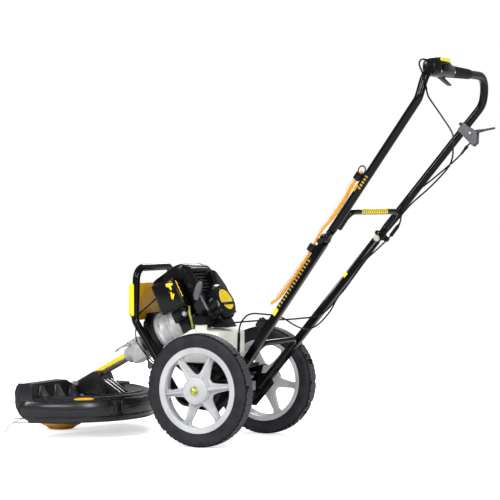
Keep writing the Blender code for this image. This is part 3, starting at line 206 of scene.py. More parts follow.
def paint_over(material, mask, hex_code):
    """Lays another colour over a finish wherever the mask is one."""
    target = material.node_tree.nodes["Principled BSDF"].inputs["Base Color"]
    mix = add_node(material, "Mix", {"data_type": "RGBA", 7: linear(hex_code)},
                   {0: mask, 6: target.links[0].from_socket})
    material.node_tree.links.new(mix.outputs[2], target)


def coordinates(material, place=None):
    """The object's X, Y and Z as three sockets, in the frame of a matrix if one is given."""
    where = add_node(material, "TexCoord").outputs["Object"]
    if place is not None:
        where = add_node(material, "Mapping", {"vector_type": "TEXTURE", "Location": place.to_translation(),
                                               "Rotation": place.to_euler()}, {"Vector": where}).outputs[0]
    return add_node(material, "SeparateXYZ", {}, {0: where}).outputs


def clear_selection():
    """Leaves edit mode, with nothing selected."""
    if bpy.context.mode != "OBJECT":
        bpy.ops.object.mode_set(mode="OBJECT")
    bpy.ops.object.select_all(action="DESELECT")


def only(item):
    """Makes one object the whole selection."""
    clear_selection()
    item.select_set(True)
    bpy.context.view_layer.objects.active = item


def called(name):
    """The object just made, given its name."""
    bpy.context.active_object.name = name
    return bpy.context.active_object


def smooth(item, angle=35):
    """Round faces shaded smooth, edges sharper than the angle kept."""
    only(item)
    bpy.ops.object.shade_smooth_by_angle(angle=math.radians(angle))
    return item


def round_edges(item, width, segments=2, angle=40):
    """Rounds the edges sharper than the angle, for good."""
    only(item)
    bevel = item.modifiers.new("round_edges", "BEVEL")
    bevel.width = width
    bevel.segments = segments
    bevel.limit_method = "ANGLE"
    bevel.angle_limit = math.radians(angle)
    bpy.ops.object.modifier_apply(modifier=bevel.name)
    return item


def mend(item, merge=0, fill=False):
    """Merges points within a distance, fills open ends if asked, and turns the faces outward."""
    only(item)
    bpy.ops.object.mode_set(mode="EDIT")
    bpy.ops.mesh.select_all(action="SELECT")
    if merge:
        bpy.ops.mesh.remove_doubles(threshold=merge)
    if fill:
        bpy.ops.mesh.fill_holes(sides=0)
    bpy.ops.mesh.select_all(action="SELECT")
    bpy.ops.mesh.normals_make_consistent(inside=False)
    bpy.ops.object.mode_set(mode="OBJECT")
    return item


def lathe(name, profile, centre, axis, steps=64, closed=False, angle=35):
    """A circle's points moved onto a profile of (radius, height), then spun about the axis."""
    clear_selection()
    bpy.ops.mesh.primitive_circle_add(vertices=len(profile), radius=0.01, fill_type="NOTHING")
    item = called(name)
    along = Vector(axis).normalized()
    across = along.orthogonal().normalized()
    middle = Vector(centre)
    for vert, (radius, height) in zip(item.data.vertices, profile):
        vert.co = middle + across * radius + along * height
    last = len(profile) - 1
    for edge in item.data.edges:
        edge.select = not closed and set(edge.vertices) == {0, last}
    bpy.ops.object.mode_set(mode="EDIT")
    bpy.ops.mesh.select_mode(type="EDGE")
    if not closed:
        bpy.ops.mesh.delete(type="EDGE")
    bpy.ops.mesh.select_all(action="SELECT")
    bpy.ops.mesh.spin(steps=steps, angle=math.tau, center=middle, axis=along)
    return smooth(mend(item, 2e-6), angle)


def joined(name, *items):
    """Several shells made one object, which keeps the first one's materials in front."""
    only(items[0])
    for item in items[1:]:
        item.select_set(True)
    bpy.ops.object.join()
    return called(name)


def cut_by(item, cutter):
    """Takes one closed shape out of another, for good, and removes the cutter."""
    only(item)
    boolean = item.modifiers.new("cut", "BOOLEAN")
    boolean.operation = "DIFFERENCE"
    boolean.solver = "EXACT"
    boolean.object = cutter
    bpy.ops.object.modifier_apply(modifier=boolean.name)
    bpy.data.objects.remove(cutter)
    return item


def twin(item, name, matrix):
    """A copy with its own mesh, moved by a matrix and with its faces turned outward again."""
    copy = bpy.data.objects.new(name, item.data.copy())
    bpy.context.scene.collection.objects.link(copy)
    copy.data.transform(matrix)
    return mend(copy)


def coat(item, material):
    """Gives a piece one material."""
    item.data.materials.clear()
    item.data.materials.append(material)


def fixed_to(node, item, material):
    """Gives a piece its finish, and the body of the CAD node that carries it."""
    coat(item, material)
    record = frame["record"]
    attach(item, next(name for name, nodes in record["behaviour"]["bodies"].items() if node in nodes))
    return item


def stands_for(item, material, *nodes):
    """Puts a finished piece in the place of CAD nodes, on the first one's body."""
    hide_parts(*nodes)
    return fixed_to(nodes[0], item, material)


def tyre_shell(name, centre, way):
    """The carcass: bead, sidewall with two fine ribs, shoulder and tread band, spun in one piece."""
    half = [(0.117, 0.0192), (0.1205, 0.0212), (0.1212, 0.0209), (0.1222, 0.0213), (0.129, 0.0222),
            (0.1296, 0.0219), (0.1304, 0.0223), (0.138, 0.0224), (0.144, 0.0212), (0.1478, 0.0186),
            (TREAD_RADIUS, 0.015), (TREAD_RADIUS + 0.0004, 0.0092), (TREAD_RADIUS + 0.0006, 0.0032)]
    profile = [(0.1112, 0.0)] + half + [(radius, -height) for radius, height in reversed(half)]
    item = lathe(name, profile, centre, way, 2 * TREAD_ROWS, closed=True, angle=50)
    only(item)
    bpy.ops.object.mode_set(mode="EDIT")
    bpy.ops.mesh.select_all(action="DESELECT")
    bpy.ops.object.mode_set(mode="OBJECT")
    for face in item.data.polygons:
        out = face.center - Vector(centre)
        column = round(out.dot(Vector(way)) / LUG_WIDTH)
        row = math.floor(math.atan2(out.z, out.x) / (math.tau / (2 * TREAD_ROWS)))
        face.select = math.hypot(out.x, out.z) > TREAD_EDGE and (row + column) % 2 == 0
    bpy.ops.object.mode_set(mode="EDIT")
    bpy.ops.mesh.select_mode(type="FACE")
    bpy.ops.mesh.inset(thickness=0.0004, depth=LUG_HEIGHT, use_individual=True)
    bpy.ops.object.mode_set(mode="OBJECT")
    return smooth(item, 30)


def prism(name, low, high):
    """A cylinder whose two rims are moved onto two rings of points."""
    clear_selection()
    bpy.ops.mesh.primitive_cylinder_add(vertices=len(low), radius=0.01, depth=0.01, end_fill_type="NGON")
    item = called(name)
    for at, (bottom, top) in enumerate(zip(low, high)):
        item.data.vertices[2 * at].co = bottom
        item.data.vertices[2 * at + 1].co = top
    return mend(item)


def plate(name, outline, low, high, place):
    """A flat outline given its thickness from low to high, and laid by a matrix."""
    return prism(name, [place @ Vector((a, b, low)) for a, b in outline],
                 [place @ Vector((a, b, high)) for a, b in outline])


def arc(radius, degrees):
    """Points on a circle at the given angles."""
    return [(radius * math.cos(math.radians(a)), radius * math.sin(math.radians(a))) for a in degrees]


def rim_shell(name, centre):
    """Flange ring, web with six windows, ridged spokes and a stepped hub, joined."""
    outward = Vector((0, -1, 0))
    face_on = Matrix.Translation(centre) @ FACING_LEFT
    ring = lathe(name, [(0.1154, 0.019), (0.1148, 0.02), (0.1132, 0.0204), (0.1128, 0.0198),
                        (0.1008, 0.019), (0.0995, 0.0184), (0.0987, 0.0172), (0.0984, 0.0146),
                        (0.1, 0.01), (0.103, 0.0066), (0.1035, 0.005), (0.1035, -0.018),
                        (0.106, -0.0192), (0.1154, -0.0196), (0.115, -0.015), (0.1098, 0.0),
                        (0.115, 0.015)], centre, outward, 96, closed=True)
    web = lathe("web", [(0.01, -0.0035), (0.01, 0.006), (0.03, 0.006), (0.1045, 0.007),
                        (0.1045, -0.002)], centre, outward, 96, closed=True)
    cutters = []
    for spoke in range(SPOKES):
        turn = Matrix.Rotation(math.tau * (spoke + 0.5) / SPOKES + SPOKE_TURN, 4, "Z")
        ends = [(0.043, 0.06), (0.0442, 0.15), (0.0485, 0.226), (0.06, 0.327), (0.075, 0.392),
                (0.086, 0.424), (0.0925, 0.424), (0.0972, 0.396), (0.1, 0.34), (0.1012, 0.25),
                (0.1015, 0.12)]
        ends += [(r, -a) for r, a in reversed(ends)]
        outline = [(r * math.cos(a), r * math.sin(a)) for r, a in ends]
        cutters.append(plate("window", outline, -0.02, 0.02, face_on @ turn))
    web = cut_by(web, joined("windows", *cutters))
    round_edges(web, 0.0012, 2, 50)
    ridges = []
    for spoke in range(SPOKES):
        turn = Matrix.Rotation(math.tau * spoke / SPOKES + SPOKE_TURN, 4, "Z")
        rings = []
        for reach, half, top in ((0.0265, 0.0125, 0.028), (0.1035, 0.006, 0.0135)):
            shape = ((-half, 0.002), (half, 0.002), (half * 0.82, 0.0085), (half * 0.14, top),
                     (-half * 0.14, top), (-half * 0.82, 0.0085))
            rings.append([face_on @ turn @ Vector((reach, side, out)) for side, out in shape])
        ridges.append(round_edges(prism("spoke_ridge", *rings), 0.0007, 2, 20))
    hub = lathe("hub", [(0, -0.0215), (0.02, -0.0215), (0.0222, -0.019), (0.024, 0.001), (0.034, 0.006),
                        (0.0365, 0.009), (0.0365, 0.0262), (0.0356, 0.0292), (0.033, 0.031),
                        (0.0318, 0.0312), (0.0312, 0.0304), (0.0302, 0.0304), (0.0296, 0.0312),
                        (0.015, 0.0316), (0.0138, 0.0308), (0, 0.0308)], centre, outward, 72)
    return smooth(joined(name, ring, web, *ridges, hub), 32)


# Nylon moulded silver grey: an even satin with faint flow clouds and a fine spark-eroded skin.
rim_nylon = finish("moulded_silver_nylon", "C1C2C4", "B0B1B4", 0.4, 0.9, 0.05, 60)
# Vulcanised rubber: charcoal with dusty patches and almost no gloss, with painted shade near black
# in the gaps of the tread and a painted highlight, paler, on the tops of its blocks.
tyre_rubber = finish("vulcanised_rubber", "2D2D31", "1F1F23", 0.6, 1.2, 0.1, 35, specular=0.2)
x, _, z = coordinates(tyre_rubber)
from_axle = add_node(tyre_rubber, "CombineXYZ", {}, {0: maths(tyre_rubber, "SUBTRACT", x, AXLE_X),
                                                     1: maths(tyre_rubber, "SUBTRACT", z, WHEEL_RADIUS)})
reach = add_node(tyre_rubber, "VectorMath", {"operation": "LENGTH"},
                 {0: from_axle.outputs[0]}).outputs["Value"]
on_tread = maths(tyre_rubber, "GREATER_THAN", reach, GAP_FROM)
below_tops = maths(tyre_rubber, "LESS_THAN", reach, GAP_TO)
# Painted shade: near black down in the gaps between the tread blocks.
paint_over(tyre_rubber, maths(tyre_rubber, "MULTIPLY", on_tread, below_tops), "050506")
# Painted highlight: paler on the tops of the tread blocks, where the light falls.
paint_over(tyre_rubber, maths(tyre_rubber, "GREATER_THAN", reach, LUG_TOP), "47474C")
# Yellow passivated zinc: a greenish gold that drifts, thinly plated over turned steel.
yellow_zinc = finish("yellow_passivated_zinc", "D8D58E", "A5AA4C", 0.34, 0.6, 0.02, 6, metallic=1.0)
left_middle = Vector((AXLE_X, -WHEEL_Y, WHEEL_RADIUS))
half_turn = Matrix.Rotation(math.pi, 4, "Z")
to_the_right = Matrix.Translation((AXLE_X, 0, 0)) @ half_turn @ Matrix.Translation((-AXLE_X, 0, 0))
tyre = tyre_shell("left_tyre_skin", left_middle, (0, -1, 0))
rim = rim_shell("left_rim_skin", left_middle)
nut = plate("left_nut_skin", arc(0.0086, range(0, 360, 60)), 0.0318, 0.0384,
            Matrix.Translation(left_middle) @ FACING_LEFT)
washer = lathe("washer", [(0.0063, 0.0312), (0.0118, 0.0312), (0.0122, 0.0318), (0.0118, 0.0325),
                          (0.0063, 0.0325)], left_middle, (0, -1, 0), 40, closed=True)
dome = lathe("nut_dome", [(0, 0.0375), (0.0074, 0.0375), (0.007, 0.0392), (0.005, 0.0404), (0, 0.0408)],
             left_middle, (0, -1, 0), 32)
nut = joined("left_nut_skin", round_edges(nut, 0.0006, 2, 20), washer, dome)
for item, material, node in ((tyre, tyre_rubber, "tyre"), (rim, rim_nylon, "rim"),
                             (nut, yellow_zinc, "hub_nut")):
    other = twin(item, "right_" + node + "_skin", to_the_right)
    for side, skin in (("left", item), ("right", other)):
        stands_for(smooth(skin, 30), material, f"{side}_{node}")


# The axle and the drive casing: a stepped steel shaft through a cast reduction gear on the
# machine's middle, which the cable from the drive lever works.
def dress(node, material, angle=35, rounding=0.0):
    """Puts a copy of a CAD node in its place, with its loose triangles merged and its rounds smooth.
    Where a rounding is given, the flats are joined and the edges rounded too."""
    item = bpy.data.objects.new(node + "_skin", frame["nodes"][node].data.copy())
    bpy.context.scene.collection.objects.link(item)
    only(item)
    if item.data.has_custom_normals:
        bpy.ops.mesh.customdata_custom_splitnormals_clear()
    bpy.ops.object.mode_set(mode="EDIT")
    bpy.ops.mesh.select_all(action="SELECT")
    bpy.ops.mesh.remove_doubles(threshold=1e-6)
    if rounding:
        bpy.ops.mesh.dissolve_limited(angle_limit=math.radians(1))
        round_edges(item, rounding)
    return stands_for(smooth(item, angle), material, node)


# Bright zinc on turned steel: a cold grey mirror with faint turning marks.
bright_zinc = finish("bright_zinc_plate", "C9CBCE", "A9ACB0", 0.32, 1.0, 0.02, 8, metallic=1.0)
dress("axle", bright_zinc, 30)
# Sand-cast aluminium: grey with a green cast and a coarse skin that barely shines.
rough_casting = finish("sand_cast_aluminium", "8B9390", "6C7471", 0.55, 1.6, 0.15, 14, metallic=0.5)
dress("drive_casing", rough_casting, 30, 0.0012)


# Legs: square steel tube with flattened lugs, powder coated gloss black, bolted to the axle
# plates. A yellow and black strip is stuck on the front of the left one.
LEG_FOOT = Vector((AXLE_X - 0.0017, 0.0942, 0.098))
PIVOT = Vector((AXLE_X + 0.3653, 0.1614, 0.562))
LEG_WAY = (PIVOT - LEG_FOOT).normalized()


def along_leg(distance, side="right"):
    """A point on the line of a leg and its arm, measured from the fold."""
    spot = PIVOT + LEG_WAY * distance
    return Vector((spot.x, SIDES[side] * spot.y, spot.z))


def leg_place(distance, side="right"):
    """The frame on that line: Z along the leg, Y across the machine, X to the rear of the leg."""
    z = Vector((LEG_WAY.x, SIDES[side] * LEG_WAY.y, LEG_WAY.z))
    y = (Vector((0, 1, 0)) - z * z.y).normalized()
    turn = Matrix((y.cross(z), y, z)).transposed().to_4x4()
    return Matrix.Translation(along_leg(distance, side)) @ turn


def pipe(name, route, radius, around=6):
    """A path's points moved onto a route, given a round section and made a mesh."""
    clear_selection()
    bpy.ops.curve.primitive_nurbs_path_add()
    item = called(name)
    item.data.splines.clear()
    line = item.data.splines.new("POLY")
    line.points.add(len(route) - 1)
    for point, spot in zip(line.points, route):
        point.co = (*spot, 1)
    item.data.dimensions = "3D"
    item.data.bevel_depth = radius
    item.data.bevel_resolution = around
    item.data.use_fill_caps = True
    bpy.ops.object.convert(target="MESH")
    return smooth(mend(item, 1e-6), 50)


def bent_route(corners, radius, steps=12):
    """Straight runs between the corners, each corner rounded by an arc."""
    corners = [Vector(c) for c in corners]
    route = [corners[0]]
    for before, corner, after in zip(corners, corners[1:], corners[2:]):
        way_in = (corner - before).normalized()
        way_out = (after - corner).normalized()
        turn = way_in.angle(way_out)
        start = corner - way_in * radius * math.tan(turn / 2)
        inward = (way_out - way_in * way_in.dot(way_out)).normalized()
        for at in range(steps + 1):
            angle = turn * at / steps
            route.append(start + way_in * radius * math.sin(angle) + inward * radius * (1 - math.cos(angle)))
    return route + [corners[-1]]


def both_sides(half_path):
    """The corners up one side of the machine and down the other, from those of the right side."""
    return half_path + [Vector((x, -y, z)) for x, y, z in reversed(half_path)]


def turned_set(name, profile, places, steps, closed=False):
    """Equal turned pieces made one object, each at its own centre and along its own axis."""
    return joined(name, *[lathe(name, profile, centre, axis, steps, closed) for centre, axis in places])


# Powder coat: near black and glossy, with the faint waves of a sprayed and baked film.
black_paint = finish("gloss_black_powder_coat", "08080B", "050507", 0.13, 2.2, 0.012, 50, specular=0.22)
for side in SIDES:
    dress(side + "_leg", black_paint, 30, 0.0016)
brace = [Vector((AXLE_X + 0.033, 0.0812, 0.14)), Vector((AXLE_X + 0.141, 0.1008, 0.277))]
stands_for(pipe("lower_brace_skin", bent_route(both_sides(brace), 0.022), 0.008), black_paint, "lower_brace")
for node in ("engine_plate", "cradle_tray"):
    dress(node, black_paint, 30, 0.0006)
# Bright bolts through the legs and the axle plates, with a washer each.
plate_bolts = turned_set("plate_bolts", [(0, 0.0018), (0.0095, 0.0018), (0.0095, 0.003), (0.0062, 0.003),
                                         (0.0062, 0.0072), (0.005, 0.0082), (0, 0.0084)],
                         [((AXLE_X + x, sign * 0.1078, z), (0, sign, 0)) for sign in SIDES.values()
                          for x, z in ((0.052, 0.166), (-0.048, 0.11))], 20)
fixed_to("left_leg", plate_bolts, bright_zinc)


# Printed strips: vinyl with slanted black bars on yellow, stuck along the front of the left leg,
# with a small yellow mark on the right one. The bars are plain marks, no words.
def striped_vinyl(name, place, bar_mm, share, slant):
    """Yellow vinyl with black bars across it, at a pitch in millimetres along the piece."""
    material = finish(name, "F5DA1A", "EBCB12", 0.35, 1.5, 0.01, 40)
    _, across, along = coordinates(material, place)
    leaning = maths(material, "ADD", along, maths(material, "MULTIPLY", across, slant))
    step = maths(material, "FRACT", maths(material, "MULTIPLY", leaning, 1000 / bar_mm))
    paint_over(material, maths(material, "LESS_THAN", step, share), "101012")
    return material


front_of_leg = leg_place(0.0, "left")
strip_vinyl = striped_vinyl("printed_strip_vinyl", front_of_leg, 11, 0.84, 2.0)
strip = plate("leg_strip", [(-0.0086, -0.0104), (-0.001, -0.0104), (-0.0008, -0.0099), (-0.0088, -0.0099)],
              -0.245, -0.07, front_of_leg)
fixed_to("left_leg", strip, strip_vinyl)
# Plain yellow vinyl for the small marks: satin and even.
yellow_vinyl = finish("yellow_vinyl", "F8E11C", "EFD216", 0.32, 1.5, 0.01, 30)
plain_end = plate("leg_strip_end", [(-0.0092, -0.0105), (0.0002, -0.0105), (0.0004, -0.0099),
                                    (-0.0094, -0.0099)], -0.266, -0.246, front_of_leg)
fixed_to("left_leg", plain_end, yellow_vinyl)
far_mark = plate("far_leg_mark", [(-0.0105, -0.0102), (-0.002, -0.0105), (-0.002, -0.0099),
                                  (-0.0099, -0.0099)], -0.15, -0.135, leg_place(0.0, "right"))
fixed_to("right_leg", far_mark, yellow_vinyl)


# The engine guard: a tube bent from the axle plates up and over the front of the engine, with a
# yellow moulded panel screwed across its front and open behind.
loop_half = [(-0.03, 0.1065), (-0.108, 0.1065), (-0.2598, 0.327), (-0.254, 0.4725)]
loop_corners = both_sides([Vector((AXLE_X + x, 0.095, z)) for x, z in loop_half])
stands_for(pipe("front_loop_skin", bent_route(loop_corners, 0.032), 0.0105, 8), black_paint, "front_loop")
# Moulded ABS in signal yellow: even and glossy, amber where it lies in its own shade.
yellow_abs = finish("moulded_yellow_abs", "F9E11E", "F3D614", 0.3, 1.0, 0.02, 40)
dress("front_panel", yellow_abs, 30, 0.001)
panel_screws = turned_set("panel_screws", [(0, 0), (0.0052, 0), (0.005, 0.002), (0.0034, 0.0034),
                                           (0, 0.0038)],
                          [((AXLE_X - 0.2712, y, z), (1, 0, 0)) for y in (-0.08, 0.08)
                           for z in (0.406, 0.364)], 16)
fixed_to("front_panel", panel_screws, bright_zinc)


# The handle: one bent tube that pins to the legs at the fold, with a brace welded between its
# arms, and wing knobs on the two fold bolts.
GRIP_X = AXLE_X + 0.66
GRIP_Z = 0.988
HANDLE_RADIUS = 0.011
# The first lays an outline upright along the machine, and the second lays one upright across it.
upright = Matrix(((1, 0, 0, 0), (0, 0, 1, 0), (0, 1, 0, 0), (0, 0, 0, 1)))
crossways = Matrix(((0, 0, 1, 0), (1, 0, 0, 0), (0, 1, 0, 0), (0, 0, 0, 1)))


def curved_strip(outer, inner, degrees):
    """The section of a strip on a tube: along one arc, and back along another."""
    return arc(outer, degrees) + arc(inner, reversed(degrees))


handle_corners = [along_leg(0.026), along_leg(0.45), Vector((GRIP_X, 0.2, GRIP_Z))]
bar_middle = [Vector((GRIP_X, 0, GRIP_Z))]
right_bend = bent_route(handle_corners + bar_middle, 0.066, 16)
left_bend = bent_route([Vector((x, -y, z)) for x, y, z in handle_corners] + bar_middle, 0.042, 16)
arms = pipe("handle_tube_skin", right_bend[:-1] + left_bend[-2::-1], HANDLE_RADIUS, 8)
lug = arc(0.01, range(180, 361, 15)) + [(0.01, 0.044), (0.0, 0.054), (-0.01, 0.044)]
lean = Matrix.Rotation(math.atan2(LEG_WAY.x, LEG_WAY.z), 4, "Y")
lugs = []
for sign in SIDES.values():
    at_pin = Matrix.Translation((PIVOT.x, sign * (PIVOT.y + 0.0032), PIVOT.z))
    lugs.append(round_edges(plate("arm_lug", lug, -0.003, 0.003, at_pin @ lean @ upright), 0.0008))
stands_for(smooth(joined("handle_tube_skin", arms, *lugs), 40), black_paint, "handle_tube")
brace_half = [Vector((AXLE_X + 0.3905, 0.1435, 0.586)), Vector((AXLE_X + 0.425, 0.15, 0.629))]
upper_brace = pipe("upper_brace_skin", bent_route(both_sides(brace_half), 0.022), 0.0075)
stands_for(upper_brace, black_paint, "upper_brace")
brace_top = Matrix.Translation((AXLE_X + 0.425, 0.0, 0.629))
wrap = curved_strip(0.0078, 0.0074, range(-40, 137, 22))
brace_label = plate("brace_label", wrap, -0.092, 0.068, brace_top @ upright)
across_brace = brace_top @ Matrix.Rotation(math.pi / 2, 4, "X")
label_vinyl = striped_vinyl("brace_label_vinyl", across_brace, 12, 0.28, 0.0)
fixed_to("upper_brace", smooth(brace_label, 40), label_vinyl)
# Moulded ABS in black: a soft skin gloss and a fine spark-eroded grain.
black_abs = finish("moulded_black_abs", "0A0A0D", "070709", 0.19, 1.0, 0.012, 40, specular=0.26)
for side in SIDES:
    dress(side + "_fold_knob", black_abs, 32, 0.0008)
# Undyed nylon: a warm off-white cap on the inner end of each fold bolt.
beige_nylon = finish("natural_nylon", "CFC8BC", "B9B2A4", 0.42, 1.2, 0.03, 12)
fold_caps = turned_set("fold_caps", [(0, 0), (0.0088, 0), (0.009, 0.0014), (0.007, 0.004), (0, 0.005)],
                       [((PIVOT.x - 0.004, sign * (PIVOT.y - 0.0112), PIVOT.z - 0.006), (0, -sign, 0))
                        for sign in SIDES.values()], 24)
fixed_to("right_leg", fold_caps, beige_nylon)


# The controls on the bar: a two-part moulded box with the throttle trigger and the stop switch,
# and a tapered rubber sleeve beside it.
BOX_ROUNDNESS = 0.74


def loft(name, rings):
    """A grid's points moved onto closed rings of points, its seam merged and its ends filled."""
    clear_selection()
    bpy.ops.mesh.primitive_grid_add(x_subdivisions=len(rings[0]), y_subdivisions=len(rings) - 1, size=1)
    item = called(name)
    for vert, spot in zip(item.data.vertices, [spot for ring in rings for spot in (*ring, ring[0])]):
        vert.co = spot
    return smooth(mend(item, 2e-6, fill=True), 40)


def rectangle(a, b, far_a, far_b):
    """The four corners of a rectangle, in order."""
    return [(a, b), (far_a, b), (far_a, far_b), (a, far_b)]


housing_rings = []
for y, up, half_wide, half_high in ((-0.1868, 0.002, 0.011, 0.011), (-0.1856, 0.0028, 0.0165, 0.0165),
                                    (-0.18, 0.0045, 0.0205, 0.0208), (-0.165, 0.0062, 0.0235, 0.0245),
                                    (-0.14, 0.0068, 0.025, 0.0256), (-0.115, 0.006, 0.0246, 0.0246),
                                    (-0.092, 0.003, 0.0222, 0.0215), (-0.074, 0.0006, 0.0188, 0.0182),
                                    (-0.06, -0.0004, 0.0168, 0.0164), (-0.052, 0.0, 0.016, 0.016),
                                    (-0.0496, 0.0, 0.0142, 0.0142)):
    ring = []
    for k in range(48):
        c, s = math.cos(math.tau * k / 48), math.sin(math.tau * k / 48)
        ring.append(Vector((GRIP_X + half_wide * math.copysign(abs(c) ** BOX_ROUNDNESS, c), y,
                            GRIP_Z + up + half_high * math.copysign(abs(s) ** BOX_ROUNDNESS, s))))
    housing_rings.append(ring)
housing = loft("throttle_housing_skin", housing_rings)
on_bar = Matrix.Translation((GRIP_X, 0, GRIP_Z)) @ crossways
for outline, inner, outer in ((rectangle(-0.127, -0.03, -0.052, -0.008), -0.0075, 0.0075),
                              (rectangle(-0.157, -0.003, -0.122, 0.013), 0.0185, 0.03)):
    cut_by(housing, plate("slot", outline, inner, outer, on_bar))
stands_for(smooth(housing, 32), black_abs, "throttle_housing")
dress("throttle_trigger", black_abs, 30, 0.0008)
# Moulded ABS in a red so deep that it reads as black beside the box.
dark_red = finish("moulded_dark_red_abs", "1A0C0B", "120807", 0.35, 1.0, 0.015, 12, specular=0.12)
dress("stop_switch", dark_red, 30, 0.0005)
leaning = on_bar @ Matrix.Translation((0, 0.025, 0.0215)) @ Matrix.Rotation(math.radians(-32), 4, "X")
inset = plate("housing_inset", [(-0.156, -0.005), (-0.106, -0.005), (-0.098, 0.0), (-0.108, 0.005),
                                (-0.152, 0.005), (-0.162, 0.0)], -0.004, 0.0012, leaning)
fixed_to("throttle_housing", round_edges(inset, 0.0012), yellow_abs)
housing_screws = turned_set("housing_screws", [(0, 0), (0.0036, 0), (0.0034, 0.0012), (0.0016, 0.0014),
                                               (0.0012, 0.0004), (0, 0.0004)],
                            [((GRIP_X + 0.0246, y, GRIP_Z + z), (1, 0, 0))
                             for y, z in ((-0.164, -0.006), (-0.078, -0.004))], 16)
fixed_to("throttle_housing", housing_screws, bright_zinc)
# Moulded rubber: dull charcoal, with turned ribs where the fingers lie.
grip_rubber = finish("moulded_grip_rubber", "121214", "0C0C0E", 0.5, 1.2, 0.08, 25, specular=0.2)
sleeve = [(HANDLE_RADIUS + 0.0002, 0), (0.015, 0), (0.0158, 0.001), (0.016, 0.004), (0.0158, 0.006)]
for k in range(14):
    start = 0.009 + 0.0074 * k
    reach = 0.0156 - 0.0022 * k / 13
    sleeve += [(reach - 0.0008, start), (reach, start + 0.0012), (reach, start + 0.0044),
               (reach - 0.0008, start + 0.0056)]
sleeve += [(0.0131, 0.118), (0.0128, 0.1204), (HANDLE_RADIUS + 0.0002, 0.121)]
stands_for(lathe("grip_sleeve_skin", sleeve, (GRIP_X, -0.049, GRIP_Z), (0, 1, 0), 40, closed=True),
           grip_rubber, "grip_sleeve")


# The drive lever: a steel blade in a folded bracket on the right arm, pulling the cable that
# engages the wheels. The bracket is moulded in mid-grey nylon, matt, with fine grain.
grey_nylon = finish("moulded_grey_nylon", "5E6065", "4E5054", 0.45, 1.0, 0.04, 30, specular=0.3)
on_arm = leg_place(0.361)
cheek = [(0.004, -0.004), (0.039, -0.008), (0.052, -0.01), (0.0548, 0.004), (0.037, 0.027), (0.006, 0.023)]
cheeks = [plate("cheek", cheek, sign * 0.0105, sign * 0.0125, on_arm @ upright) for sign in (-1, 1)]
back = plate("bracket_back", [(0.036, -0.0076), (0.052, -0.0098), (0.052, -0.0078), (0.036, -0.0056)],
             -0.0125, 0.0125, on_arm @ upright)
band = lathe("bracket_band", [(0.0113, -0.003), (0.0128, -0.003), (0.0128, 0.023), (0.0113, 0.023)],
             on_arm.to_translation(), on_arm.to_3x3() @ Vector((0, 0, 1)), 40, closed=True)
bracket = round_edges(joined("lever_bracket_skin", *cheeks, back), 0.0007)
stands_for(smooth(joined("lever_bracket_skin", bracket, band), 35), grey_nylon, "lever_bracket")
# Blackened steel: dark with a faint brown cast, worn lighter in patches.
dark_steel = finish("blackened_steel", "4A4A4D", "333337", 0.42, 1.4, 0.04, 18, metallic=0.7)
dress("drive_lever", dark_steel, 30, 0.0006)
at_pin = on_arm @ Vector((0.0256, 0, 0.0147))
pivot_cap = lathe("lever_pivot", [(0, 0.012), (0.0044, 0.012), (0.0042, 0.0168), (0.0026, 0.0178),
                                  (0, 0.018)], at_pin, (0, -1, 0), 20)
fixed_to("lever_bracket", pivot_cap, bright_zinc)
band_bolt = lathe("band_bolt", [(0, 0.0), (0.0046, 0.0), (0.0046, 0.006), (0.003, 0.007), (0, 0.007)],
                  on_arm @ Vector((-0.0126, 0, 0.014)), on_arm.to_3x3() @ Vector((-1, 0, 0)), 18)
fixed_to("lever_bracket", band_bolt, dark_steel)


# The cables: steel wires in black vinyl sheaths, about 4.4 mm thick. Both pass the fold with a
# little slack, so each bends there when the handle is folded.
CABLE_RADIUS = 0.0022


def smooth_route(stops, spacing):
    """Points about one spacing apart on a smooth curve through the stops, given from the axle."""
    stops = [Vector((AXLE_X + x, y, z)) for x, y, z in stops]
    padded = [2 * stops[0] - stops[1]] + stops + [2 * stops[-1] - stops[-2]]
    route = [stops[0]]
    for a, b, c, d in zip(padded, padded[1:], padded[2:], padded[3:]):
        steps = max(1, round((c - b).length / spacing))
        for at in range(1, steps + 1):
            t = at / steps
            route.append(0.5 * (2 * b + (c - a) * t + (2 * a - 5 * b + 4 * c - d) * t ** 2
                                + (3 * b - a - 3 * c + d) * t ** 3))
    return route


def across_the_fold(item, material, slot, side, *nodes):
    """Coats a piece that runs between the legs and the handle, in the place of any nodes that are named."""
    coat(item, material)
    if nodes:
        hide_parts(*nodes)
    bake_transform(item)


# Extruded vinyl: black, smooth, with a dull shine.
sheath_vinyl = finish("cable_sheath_vinyl", "0A0A0C", "060607", 0.32, 2.0, 0.015, 20, specular=0.12)
throttle_stops = [(0.66, -0.1868, 1.004), (0.659, -0.205, 1.009), (0.656, -0.226, 1.008),
                  (0.655, -0.236, 0.996), (0.662, -0.228, 0.97), (0.663, -0.212, 0.942),
                  (0.659, -0.19, 0.92), (0.648, -0.12, 0.896), (0.632, -0.03, 0.87),
                  (0.608, 0.09, 0.834), (0.582, 0.156, 0.798), (0.574, 0.17, 0.772),
                  (0.56, 0.17, 0.744), (0.5125, 0.165, 0.695), (0.46, 0.155, 0.648),
                  (0.42, 0.144, 0.6), (0.375, 0.132, 0.545), (0.338, 0.127, 0.495),
                  (0.278, 0.117, 0.415), (0.222, 0.1, 0.35), (0.165, 0.06, 0.336),
                  (0.1, 0.0, 0.333), (0.04, -0.045, 0.328), (-0.02, -0.052, 0.32),
                  (-0.04, -0.056, 0.317), (-0.06, -0.059, 0.315), (-0.079, -0.0605, 0.314),
                  (-0.095, -0.0605, 0.313), (-0.108, -0.0605, 0.319), (-0.112, -0.06, 0.33)]
throttle_cable = pipe("throttle_cable_skin", smooth_route(throttle_stops, 0.006), CABLE_RADIUS, 3)
across_the_fold(throttle_cable, sheath_vinyl, "cable_sheath", "right",
                "throttle_cable_upper", "throttle_cable_lower")
